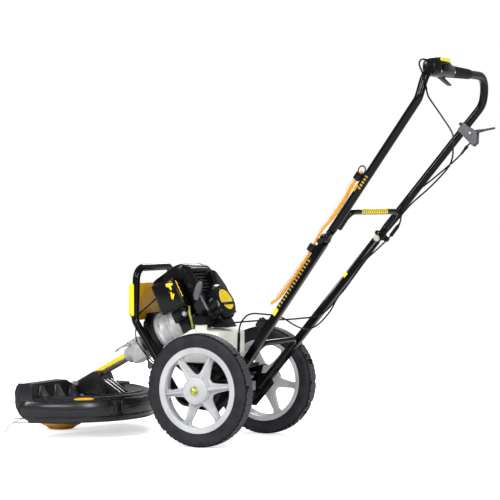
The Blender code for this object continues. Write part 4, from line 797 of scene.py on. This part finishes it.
drive_stops = [(0.628, 0.206, 0.819), (0.616, 0.203, 0.814), (0.606, 0.2, 0.806),
               (0.59, 0.196, 0.784), (0.565, 0.188, 0.759),
               (0.508, 0.172, 0.71), (0.44, 0.154, 0.656), (0.435, 0.152, 0.633),
               (0.429, 0.15, 0.595), (0.4042, 0.147, 0.5624), (0.368, 0.144, 0.528),
               (0.329, 0.139, 0.4912), (0.28, 0.13, 0.4224), (0.256, 0.124, 0.392),
               (0.236, 0.12, 0.356), (0.206, 0.115, 0.322), (0.185, 0.105, 0.308),
               (0.179, 0.06, 0.31), (0.192, -0.02, 0.326), (0.2, -0.084, 0.344),
               (0.18, -0.102, 0.353), (0.148, -0.106, 0.356), (0.114, -0.109, 0.356),
               (0.093, -0.111, 0.344), (0.079, -0.112, 0.316), (0.077, -0.112, 0.26),
               (0.072, -0.112, 0.234), (0.06, -0.1105, 0.211), (0.05, -0.098, 0.196),
               (0.052, -0.08, 0.189), (0.064, -0.056, 0.186), (0.078, -0.028, 0.19),
               (0.074, -0.0115, 0.19), (0.064, -0.01, 0.1834)]
drive_route = smooth_route(drive_stops, 0.006)
drive_cable = pipe("drive_cable_skin", drive_route, CABLE_RADIUS, 3)
across_the_fold(drive_cable, sheath_vinyl, "cable_sheath", "right", "drive_cable_upper", "drive_cable_lower")


def sleeve_on(name, route, start, end, profile):
    """A turned sleeve on a cable: (radius, share of its length) from one point of the route to another."""
    low = min(route, key=lambda spot: (spot - Vector(start)).length)
    high = min(route, key=lambda spot: (spot - Vector(end)).length)
    long = (high - low).length
    return lathe(name, [(radius, share * long) for radius, share in profile], low, high - low, 20)


# The drive cable's fittings: a ribbed rubber boot over the fold, and moulded in black, a ferrule
# at the lever, a thicker sleeve where the cable goes down behind the wheel, and its stop there.
boot_ribs = [(0, 0.0), (0.004, 0.0), (0.0052, 0.04)]
for k in range(6):
    boot_ribs += [(0.0056, 0.06 + 0.13 * k), (0.0056, 0.12 + 0.13 * k), (0.0042, 0.14 + 0.13 * k),
                  (0.0042, 0.17 + 0.13 * k)]
boot_ribs += [(0.0036, 0.92), (0.0028, 1.0), (0, 1.0)]
boot = sleeve_on("cable_boot", drive_route, (AXLE_X + 0.406, 0.1472, 0.565), (AXLE_X + 0.43, 0.15, 0.596),
                 boot_ribs)
fixed_to("right_leg", boot, grip_rubber)
ferrule = sleeve_on("cable_ferrule", drive_route, (AXLE_X + 0.59, 0.196, 0.784),
                    (AXLE_X + 0.606, 0.2, 0.806), [(0, 0.0), (0.003, 0.0), (0.0034, 0.1), (0.0034, 0.5),
                                                   (0.0044, 0.55), (0.0044, 0.95), (0, 1.0)])
fixed_to("handle_tube", ferrule, black_abs)
down_sleeve = sleeve_on("cable_down_sleeve", drive_route, (AXLE_X + 0.0785, -0.112, 0.306),
                        (AXLE_X + 0.077, -0.112, 0.252),
                        [(0, 0.0), (0.003, 0.0), (0.004, 0.06), (0.0042, 0.3), (0.0042, 0.94), (0.003, 1.0),
                         (0, 1.0)])
fixed_to("cable_stop", down_sleeve, black_abs)
dress("cable_stop", black_abs, 30, 0.0012)


# Spare cutting line: lengths of nylon kept in two clips on the left arm and leg, three thick
# orange ones and three thinner ones. They bow away from the tube and end loose below.
for node in ("upper_line_clip", "lower_line_clip"):
    dress(node, black_abs, 30, 0.001)
ring_place = leg_place(0.206, "left") @ Matrix.Translation((-0.0215, -0.002, 0))
clear_selection()
bpy.ops.mesh.primitive_torus_add(major_radius=0.0095, minor_radius=0.0017, major_segments=36,
                                 minor_segments=10)
ring = called("clip_ring")
bpy.ops.object.mode_set(mode="EDIT")
bpy.ops.mesh.select_all(action="SELECT")
bpy.ops.transform.resize(value=(1.0, 1.25, 1.0))
bpy.ops.object.mode_set(mode="OBJECT")
ring.data.transform(ring_place @ Matrix.Rotation(math.pi / 2, 4, "X"))
fixed_to("upper_line_clip", smooth(ring, 60), dark_steel)
arm_side = leg_place(0.0, "left")
arm_marks = [plate("arm_mark", [(-0.01, -0.0104), (-0.004, -0.0122), (-0.003, -0.0112), (-0.009, -0.0094)],
                   0.152, 0.172, arm_side)]
dash = [(-0.001, -0.0118), (0.006, -0.0106), (0.0056, -0.0098), (-0.0006, -0.0108)]
for k in range(5):
    low = 0.166 + 0.009 * k
    arm_marks.append(plate("arm_dash", dash, low, low + 0.0045, arm_side))
# Ochre vinyl for the arm's marks: the same satin, browned by the arm's shade.
ochre_vinyl = finish("ochre_vinyl", "C7981C", "A97F14", 0.35, 1.5, 0.01, 30)
fixed_to("handle_tube", joined("arm_marks", *arm_marks), ochre_vinyl)
# Extruded nylon: orange or clear, glossy as wax.
orange_nylon = finish("orange_nylon_line", "F2A314", "E0900C", 0.3, 2.0, 0.02, 10)
clear_nylon = finish("clear_nylon_line", "F1EDDD", "E6E0CB", 0.3, 2.0, 0.02, 10)
brown_nylon = finish("brown_nylon_line", "B08A7C", "9C7467", 0.35, 2.0, 0.02, 10)
strand_way = ((0.203, -0.0215, 0.001), (0.196, -0.0222, 0.0), (0.187, -0.0225, 0.0), (0.16, -0.0225, 0.0),
              (0.12, -0.0185, 0.0), (0.08, -0.0175, -0.001), (0.045, -0.0195, -0.002),
              (0.01, -0.0245, -0.002), (-0.02, -0.024, -0.002), (-0.05, -0.022, 0.0),
              (-0.08, -0.0185, 0.0), (-0.11, -0.017, 0.0), (-0.15, -0.0172, 0.0), (-0.185, -0.019, 0.0),
              (-0.22, -0.022, -0.001), (-0.25, -0.031, -0.002))
strand_stops = [leg_place(far, "left") @ Vector((off, side_step, 0)) - Vector((AXLE_X, 0, 0))
                for far, off, side_step in strand_way]
strands = []
for across, radius in ((-0.0032, 0.0019), (0.0002, 0.002), (0.0034, 0.0018)):
    lane = [(x + across * 0.8 * (1 - 0.06 * max(0, k - 6)), y, z - across * 0.5) for k, (x, y, z) in
            enumerate(strand_stops)]
    strands.append(pipe("spare_strand", smooth_route(lane, 0.008), radius, 3))
across_the_fold(joined("spare_strands_skin", *strands), orange_nylon, "orange_line", "left",
                "spare_line_upper", "spare_line_lower")
bow = (0.2, 0.2, 0.3, 0.8, 1.0, 1.0, 0.7, 0.4, 0.2, 0.2, 0.5, 0.9, 1.0, 1.0, 1.0)
for name, material, off, drop in (("clear_strand", clear_nylon, -0.015, 0.004),
                                  ("brown_strand", brown_nylon, -0.008, 0.001),
                                  ("pale_strand", clear_nylon, -0.0115, -0.006)):
    stops = [(x + off * share, y - 0.0015, z + drop * share) for (x, y, z), share in zip(strand_stops, bow)]
    across_the_fold(pipe(name, smooth_route(stops, 0.008), 0.0011, 3), material, "clear_line", "left")


# The panel's ends: yellow moulded flanges that wrap the outside of the loop, one on each side.
# Behind the panel the moulding lies in its own shade and is amber there.
upright_at_axle = Matrix.Translation((AXLE_X, 0, 0)) @ upright
flange = [(-0.2672, 0.347), (-0.2645, 0.341), (-0.2575, 0.3395), (-0.256, 0.342), (-0.2562, 0.425),
          (-0.2575, 0.4285), (-0.2665, 0.429), (-0.2692, 0.425)]
flanges = []
for sign in SIDES.values():
    for outline, inner, outer in ((flange, 0.1056, 0.1086),
                                  (rectangle(-0.2724, 0.344, -0.2686, 0.424), 0.094, 0.108)):
        piece = plate("flange", outline, sign * inner, sign * outer, upright_at_axle)
        flanges.append(round_edges(piece, 0.0012))
fixed_to("front_panel", joined("panel_flanges", *flanges), yellow_abs)
x, y, _ = coordinates(yellow_abs)
behind = maths(yellow_abs, "COMPARE", x, AXLE_X - 0.2695, 0.0045)
inside = maths(yellow_abs, "COMPARE", y, 0.0, 0.09)
paint_over(yellow_abs, maths(yellow_abs, "MULTIPLY", behind, inside), "EBAE12")
# A thin black strut stands behind the panel's left end.
strut = [Vector((AXLE_X + x, y, z)) for x, y, z in ((-0.256, -0.09, 0.33), (-0.248, -0.088, 0.348),
                                                    (-0.214, -0.086, 0.374), (-0.2, -0.08, 0.39))]
fixed_to("front_loop", pipe("panel_strut", strut, 0.0022, 3), black_paint)


# The power head: a small four-stroke engine with its crank along the drive tube. The crankcase
# is die-cast, the covers are moulded in black, and the fan blows over the finned cylinder.
SLOPE = math.radians(28)
crank = Matrix.Translation((AXLE_X - 0.57, 0, 0.097)) @ Matrix.Rotation(-SLOPE, 4, "Y")
crank_foot = crank.to_translation()
crank_line = crank.to_3x3() @ Vector((1, 0, 0))
side_on = crank @ upright
# Die-cast aluminium: pale grey, blotched by the mould release, with a dull shine.
casting = finish("die_cast_aluminium", "C4C4C6", "B3B4B6", 0.44, 1.1, 0.05, 9, metallic=0.3)
dress("crankcase", casting, 34, 0.001)
dress("cylinder", casting, 34)
for node in ("engine_shroud", "starter_cover", "carburettor"):
    dress(node, black_abs, 34, 0.001)
for node in ("clutch_housing", "fuel_cap"):
    dress(node, black_abs, 34)
dress("muffler", dark_steel, 34)
case_bolts = turned_set("case_bolts", [(0, 0.413), (0.0042, 0.413), (0.0044, 0.4175), (0.0032, 0.4185),
                                       (0.003, 0.4165), (0, 0.4165)],
                        [(crank @ Vector((0, y, w)), crank_line)
                         for y, w in arc(0.0545, range(40, 341, 60))], 16)
fixed_to("crankcase", case_bolts, bright_zinc)


# The filter cover: a moulded box that unscrews, its face rimmed by a bead, with plain yellow
# marks for the choke beside the small choke lever.
dress("air_filter_cover", black_abs, 30, 0.001)
face = [(0.476, 0.111), (0.542, 0.103), (0.544, 0.0265), (0.473, 0.0325)]
bead_route = bent_route([crank @ Vector((u, -0.0992, w)) for u, w in face + face[:2]], 0.008, 5)
fixed_to("air_filter_cover", pipe("cover_bead", bead_route, 0.0012, 3), black_abs)
cover_ribs = []
for at in range(5):
    w = 0.04 + 0.013 * at
    rib = [(0.548, w), (0.5512, w + 0.001), (0.5512, w + 0.005), (0.548, w + 0.006)]
    cover_ribs.append(plate("cover_rib", rib, -0.096, -0.07, side_on))
fixed_to("air_filter_cover", joined("cover_ribs", *cover_ribs), black_abs)
marks = []
for outline in ([(0.519, 0.1005), (0.529, 0.0985), (0.54, 0.093), (0.5385, 0.0885), (0.531, 0.089),
                 (0.5315, 0.079), (0.5255, 0.0785), (0.525, 0.087), (0.518, 0.093)],
                [(0.5215, 0.074), (0.5265, 0.0735), (0.5262, 0.066), (0.533, 0.0655), (0.521, 0.0515),
                 (0.512, 0.068), (0.5208, 0.0672)]):
    marks.append(plate("choke_mark", outline, -0.1, -0.099, side_on))
fixed_to("air_filter_cover", joined("choke_marks", *marks), yellow_vinyl)
edge_line = plate("cover_line", rectangle(0.5497, 0.096, 0.5508, 0.048), -0.0975, -0.0935, side_on)
fixed_to("air_filter_cover", edge_line, yellow_vinyl)
dress("choke_lever", black_abs, 30, 0.0004)
# Moulded clear vinyl: a milky bulb with a bright skin.
bulb_vinyl = finish("moulded_clear_vinyl", "C9CCCB", "B4B8B4", 0.2, 3.0, 0.01, 20)
dress("primer_bulb", bulb_vinyl, 60)
bulb_ring = lathe("bulb_ring", [(0.008, -0.0652), (0.0094, -0.065), (0.0096, -0.0636), (0.008, -0.0636)],
                  crank @ Vector((0.517, 0, 0.0095)), (0, 1, 0), 32, closed=True)
fixed_to("carburettor", bulb_ring, black_abs)


# The top cover's ribs and the starter: raised bars over the fan case, a cord grip standing
# against its side, and a round yellow badge with a plain black band on the cord drum.
def ridge_line(name, ends, radius):
    """A low raised bar from one point of the crank frame to another."""
    low, high = (crank @ Vector(end) for end in ends)
    return pipe(name, [low, low.lerp(high, 0.5), high], radius, 2)


ribs = [ridge_line("top_rib", ((0.468, y, 0.1372), (0.537, y, 0.1432)), 0.0016)
        for y in (-0.044, -0.022, 0.0, 0.022, 0.044)]
fixed_to("engine_shroud", joined("shroud_ribs", *ribs), black_abs)
bars = [ridge_line("case_bar", ((0.5895, y, low), (0.5895, y, 0.095)), 0.0026)
        for y, low in ((-0.059, 0.02), (0.05, 0.03))]
bars.append(ridge_line("case_bar", ((0.5835, -0.056, 0.119), (0.5835, 0.044, 0.119)), 0.002))
fixed_to("starter_cover", joined("case_bars", *bars), black_abs)
grip_outline = [(0.5974, 0.0606), (0.6096, 0.0636), (0.6127, 0.0559), (0.601, 0.04), (0.5872, 0.0265),
                (0.5775, 0.0196), (0.5705, 0.0262), (0.5746, 0.039), (0.585, 0.05)]
grip = round_edges(plate("starter_handle_skin", grip_outline, -0.085, -0.073, side_on), 0.003, 3, 25)
stands_for(smooth(grip, 40), grey_nylon, "starter_handle")
# Badge vinyl: a bright satin yellow, with one black band across it.
badge_vinyl = finish("badge_vinyl", "F8DF1A", "F0D314", 0.3, 1.5, 0.01, 30)
_, _, up = coordinates(badge_vinyl, crank)
paint_over(badge_vinyl, maths(badge_vinyl, "COMPARE", up, -0.0125, 0.0042), "101012")
badge = lathe("drum_badge", [(0, 0.6176), (0.03, 0.6176), (0.0304, 0.6184), (0.03, 0.6192), (0.028, 0.6196),
                             (0.0272, 0.6192), (0, 0.6192)], crank_foot, crank_line, 64)
fixed_to("starter_cover", badge, badge_vinyl)
drum_steps = lathe("drum_steps", [(0.031, 0.6165), (0.0325, 0.6182), (0.0345, 0.6182), (0.0358, 0.616)],
                   crank_foot, crank_line, 64, closed=True)
fixed_to("starter_cover", drum_steps, black_abs)
drum_screws = turned_set("drum_screws", [(0, 0.6075), (0.0034, 0.6075), (0.0034, 0.614), (0.0022, 0.615),
                                         (0, 0.6146)],
                         [(crank @ Vector((0, y, w)), crank_line)
                          for y, w in arc(0.0475, (-50, 50, 130, 215))], 14)
fixed_to("starter_cover", drum_screws, dark_steel)


# The tank: blow-moulded from natural polyethylene, milky and a little clear, with a ribbed black
# cap screwed on its neck. A clear hose runs to it from the primer.
tank_plastic = finish("blown_polyethylene", "EEEDE8", "E2E0D8", 0.36, 2.5, 0.05, 50)
tank_plastic.node_tree.nodes["Principled BSDF"].inputs["Subsurface Weight"].default_value = 0.25
tank_plastic.node_tree.nodes["Principled BSDF"].inputs["Subsurface Scale"].default_value = 0.004
dress("fuel_tank", tank_plastic, 40)
# Clear vinyl hose with petrol in it: an olive yellow that light passes along.
hose_vinyl = finish("fuel_hose_vinyl", "A8AC4A", "8C9038", 0.25, 3.0, 0.01, 12)
hose_stops = [(-0.101, -0.07, 0.369), (-0.096, -0.077, 0.352), (-0.089, -0.08, 0.334),
              (-0.085, -0.0795, 0.319), (-0.0842, -0.079, 0.3092)]
stands_for(pipe("fuel_line_skin", smooth_route(hose_stops, 0.003), 0.0032, 5), hose_vinyl, "fuel_line")
cap_grips = []
for x, y in arc(0.0204, range(0, 360, 15)):
    spot = Vector((AXLE_X - 0.054 + x, -0.086 + y, 0.0))
    ends = [spot + Vector((0, 0, 0.323)), spot + Vector((0, 0, 0.3395))]
    cap_grips.append(pipe("cap_grip", ends, 0.0008, 1))
fixed_to("fuel_cap", joined("cap_grips", *cap_grips), black_abs)
# A thin sheathed wire hangs along the left of the front loop and bends in towards the engine.
wire_stops = [(-0.2505, -0.105, 0.315), (-0.2506, -0.105, 0.279), (-0.2345, -0.105, 0.252),
              (-0.2055, -0.105, 0.2227), (-0.188, -0.09, 0.205)]
stop_wire = pipe("stop_wire", smooth_route(wire_stops, 0.006), 0.0017, 3)
fixed_to("front_loop", stop_wire, sheath_vinyl)


# The drive tube: drawn aluminium with the steel shaft inside, clamped to the engine by a split
# casting with a latch and a wing screw. A yellow vinyl strip runs along its left side, painted shade below
# it.
for node in ("shaft_clamp", "gear_case"):
    dress(node, casting, 34, 0.0008)
# Drawn aluminium: bright, with fine lines along the tube.
bright_tube = finish("drawn_aluminium", "C4C5C8", "A8A9AC", 0.25, 1.0, 0.01, 30, metallic=1.0)
lower_tube = lathe("lower_tube_skin", [(0.013, 0.03), (0.013, 0.293), (0.0114, 0.293), (0.0114, 0.03)],
                   crank_foot, crank_line, 48, closed=True)
stands_for(lower_tube, bright_tube, "lower_tube")
dress("drive_shaft", bright_zinc, 40)
# Chromium plate over steel: the brightest thing on the clamp.
plated = finish("chromium_plate", "D4D6D9", "BFC1C4", 0.16, 1.0, 0.005, 20, metallic=1.0)
dress("clamp_lever", plated, 30, 0.0006)
dress("clamp_knob", grey_nylon, 30, 0.0008)
# Brown vinyl for the lower strip under the yellow one: painted shade on the tube's shaded lower side.
painted_shade_vinyl = finish("painted_shade_vinyl", "7A6A5A", "665848", 0.4, 1.5, 0.02, 20)
# The second strip is a sheet of painted shade along the tube's lower left side.
for name, radius, degrees, vinyl, slot in (
        ("tube_tape", 0.0133, range(118, 184, 8), yellow_vinyl, "yellow_moulding"),
        ("tube_shade", 0.0132, range(200, 250, 8), painted_shade_vinyl, "black_moulding")):
    strip = plate(name, curved_strip(radius, 0.98 * radius, degrees), 0.144, 0.256, crank @ crossways)
    fixed_to("lower_tube", smooth(strip, 40), vinyl)
clamp_heads = turned_set("clamp_heads", [(0, 0.025), (0.005, 0.025), (0.005, 0.0286), (0.0026, 0.0288),
                                         (0.0024, 0.0268), (0, 0.0268)],
                         [(crank @ Vector((u, 0, 0.024)), (0, sign, 0)) for u in (0.29, 0.313)
                          for sign in (-1, 1)], 18)
fixed_to("shaft_clamp", clamp_heads, bright_zinc)


# The guard: one polypropylene moulding on the end of the tube, a half-round deck with a raised
# hood in front. Its skirt swells into long rounded panels that stiffen it.
HEAD_X = AXLE_X - 0.57


def around_head(phi, reach, height):
    """A point at an angle round the cutting head, from the machine's left towards the rear."""
    return Vector((HEAD_X + reach * math.sin(phi), -reach * math.cos(phi), height))


def rounded_ring(half_long, half_high, corner):
    """A rectangle with round corners, as a closed ring of points in two axes."""
    corner = min(corner, half_high - 0.0002, half_long - 0.0002)
    ring = []
    for quarter, (sx, sy) in enumerate(((1, 1), (-1, 1), (-1, -1), (1, -1))):
        centre = (sx * (half_long - corner), sy * (half_high - corner))
        for k in range(9):
            angle = math.pi / 2 * (quarter + k / 8)
            ring.append((centre[0] + corner * math.cos(angle), centre[1] + corner * math.sin(angle)))
        if quarter in (0, 2):
            to = -centre[0]
            ring += [(centre[0] + (to - centre[0]) * k / 24, ring[-1][1]) for k in range(1, 24)]
    return ring


def swelling(name, phi_middle, half_arc, low, high, corner, base, rise):
    """A long rounded panel that swells out of the skirt and follows its curve."""
    middle, half = (low + high) / 2, (high - low) / 2
    rings = []
    swell = [(half * share, 0.0014 + 0.0064 * (1 - (1 - share) ** 2.2))
             for share in (0.03, 0.08, 0.15, 0.24, 0.34, 0.45, 0.57, 0.7, 0.83, 0.95)]
    for inset, lift in [(0.0, -0.0012), (0.0, 0.001)] + swell:
        flat = rounded_ring(half_arc * base - inset, half - inset, corner)
        rings.append([around_head(phi_middle + a / base, base + lift * rise, middle + b) for a, b in flat])
    return loft(name, rings)


# Moulded polypropylene: a dark grey that is waxy rather than glossy, with a fine even grain.
guard_plastic = finish("moulded_polypropylene", "1D1D21", "151519", 0.25, 1.4, 0.02, 70, specular=0.5)
dress("guard", guard_plastic, 32, 0.0014)
left_swell = swelling("left_swell", math.radians(37.7), math.radians(28.8), 0.06, 0.105, 0.0205, 0.2674, 1.0)
right_swell = twin(left_swell, "right_swell", Matrix.Scale(-1, 4, (0, 1, 0)))
rear_swell = swelling("rear_swell", math.radians(90), math.radians(17.5), 0.062, 0.104, 0.013, 0.2705, 0.8)
fixed_to("guard", smooth(joined("guard_swells", left_swell, right_swell, rear_swell), 40), guard_plastic)
# Beads moulded along the lip, along the top of the skirt and round each swelling.
beads = []
for first, reach, height, radius in ((4, 0.2692, 0.0572, 0.0011), (4, 0.2688, 0.0458, 0.001),
                                     (8, 0.2425, 0.1165, 0.0011)):
    route = [around_head(math.radians(phi), reach, height) for phi in range(first, 181 - first, 2)]
    beads.append(pipe("edge_bead", route, radius, 2))
for phi, half_arc, base in ((37.7, 29.4, 0.2676), (142.3, 29.4, 0.2676), (90, 18.1, 0.2708)):
    flat = rounded_ring(math.radians(half_arc) * base, 0.0237, 0.0215 if base < 0.27 else 0.014)
    ring = [around_head(math.radians(phi) + a / base, base + 0.0006, 0.0826 + b) for a, b in flat]
    beads.append(pipe("swell_bead", ring + ring[:1], 0.0012, 2))
fixed_to("guard", joined("guard_beads", *beads), guard_plastic)
dress("guard_bracket", guard_plastic, 30, 0.0012)
web = plate("tower_web", [(-0.424, 0.156), (-0.36, 0.115), (-0.366, 0.105), (-0.424, 0.105)],
            -0.02, 0.02, upright_at_axle)
fixed_to("guard_bracket", round_edges(web, 0.0008), guard_plastic)
deck_screws = turned_set("deck_screws", [(0, 0.105), (0.007, 0.105), (0.007, 0.1066), (0.005, 0.1084),
                                         (0.003, 0.1088), (0.0026, 0.1072), (0, 0.1072)],
                         [((AXLE_X + x, y, 0), (0, 0, 1)) for x in (-0.408, -0.47)
                          for y in (-0.042, 0.042)], 20)
fixed_to("guard", deck_screws, bright_zinc)
# An amber label lies on the deck's edge: a plain raised oval that carries no words.
label_rings = []
for share, rise in ((1.0, -0.001), (1.0, 0.0012), (0.94, 0.0016), (0.5, 0.0018)):
    ring = []
    for k in range(40):
        slope = 0.0042 * share * math.sin(math.tau * k / 40)
        ring.append(around_head(math.radians(47.8) + 0.11 * share * math.cos(math.tau * k / 40),
                                0.2623 - 0.63 * slope + 0.77 * rise, 0.1094 + 0.77 * slope + 0.63 * rise))
    label_rings.append(ring)
# Amber vinyl: a warmer yellow than the machine's other marks, in the same satin.
amber_vinyl = finish("amber_vinyl", "F0B016", "E3A210", 0.35, 1.5, 0.01, 30)
fixed_to("guard", loft("deck_label", label_rings), amber_vinyl)


# The cutting head: a nylon spool case under the gear box, with an amber bowl that feeds line
# when it is bumped on the ground. Two lengths of line stand out of its sides.
dress("trimmer_head", guard_plastic, 32)
# Moulded nylon in amber: satin, browner where it is scuffed.
amber_nylon = finish("moulded_amber_nylon", "D9990F", "BC7F0A", 0.38, 1.2, 0.05, 30, specular=0.35)
knob_profile = [(0, 0.0004), (0.028, 0.0004), (0.032, 0.001), (0.035, 0.0022), (0.041, 0.0062),
                (0.048, 0.0108), (0.056, 0.0142), (0.0578, 0.0156), (0.058, 0.0176), (0.0572, 0.019),
                (0.0518, 0.0195), (0.0516, 0.0298), (0.046, 0.0298), (0.044, 0.021), (0, 0.021)]
stands_for(lathe("bump_knob_skin", knob_profile, (HEAD_X, 0, 0), (0, 0, 1), 72), amber_nylon, "bump_knob")
eyelets = turned_set("line_eyelets", [(0.0018, -0.005), (0.0052, -0.005), (0.0052, 0.0004), (0.004, 0.0016),
                                      (0.0018, 0.001)],
                     [((AXLE_X - 0.631, -0.005, 0.0425), (-1, -0.08, 0)),
                      ((AXLE_X - 0.5905, -0.059, 0.0425), (-0.33, -0.94, 0))], 20, closed=True)
fixed_to("trimmer_head", eyelets, bright_zinc)
ahead = [(-0.6326, -0.005, 0.042), (-0.67, -0.012, 0.056), (-0.715, -0.018, 0.072), (-0.764, -0.02, 0.09)]
aside = [(-0.59, -0.0594, 0.042), (-0.612, -0.115, 0.04), (-0.624, -0.168, 0.028), (-0.624, -0.208, 0.004)]
stands_for(pipe("front_line_skin", smooth_route(ahead, 0.004), 0.0012, 3), clear_nylon, "front_line")
stands_for(pipe("side_line_skin", smooth_route(aside, 0.004), 0.0012, 3), orange_nylon, "side_line")
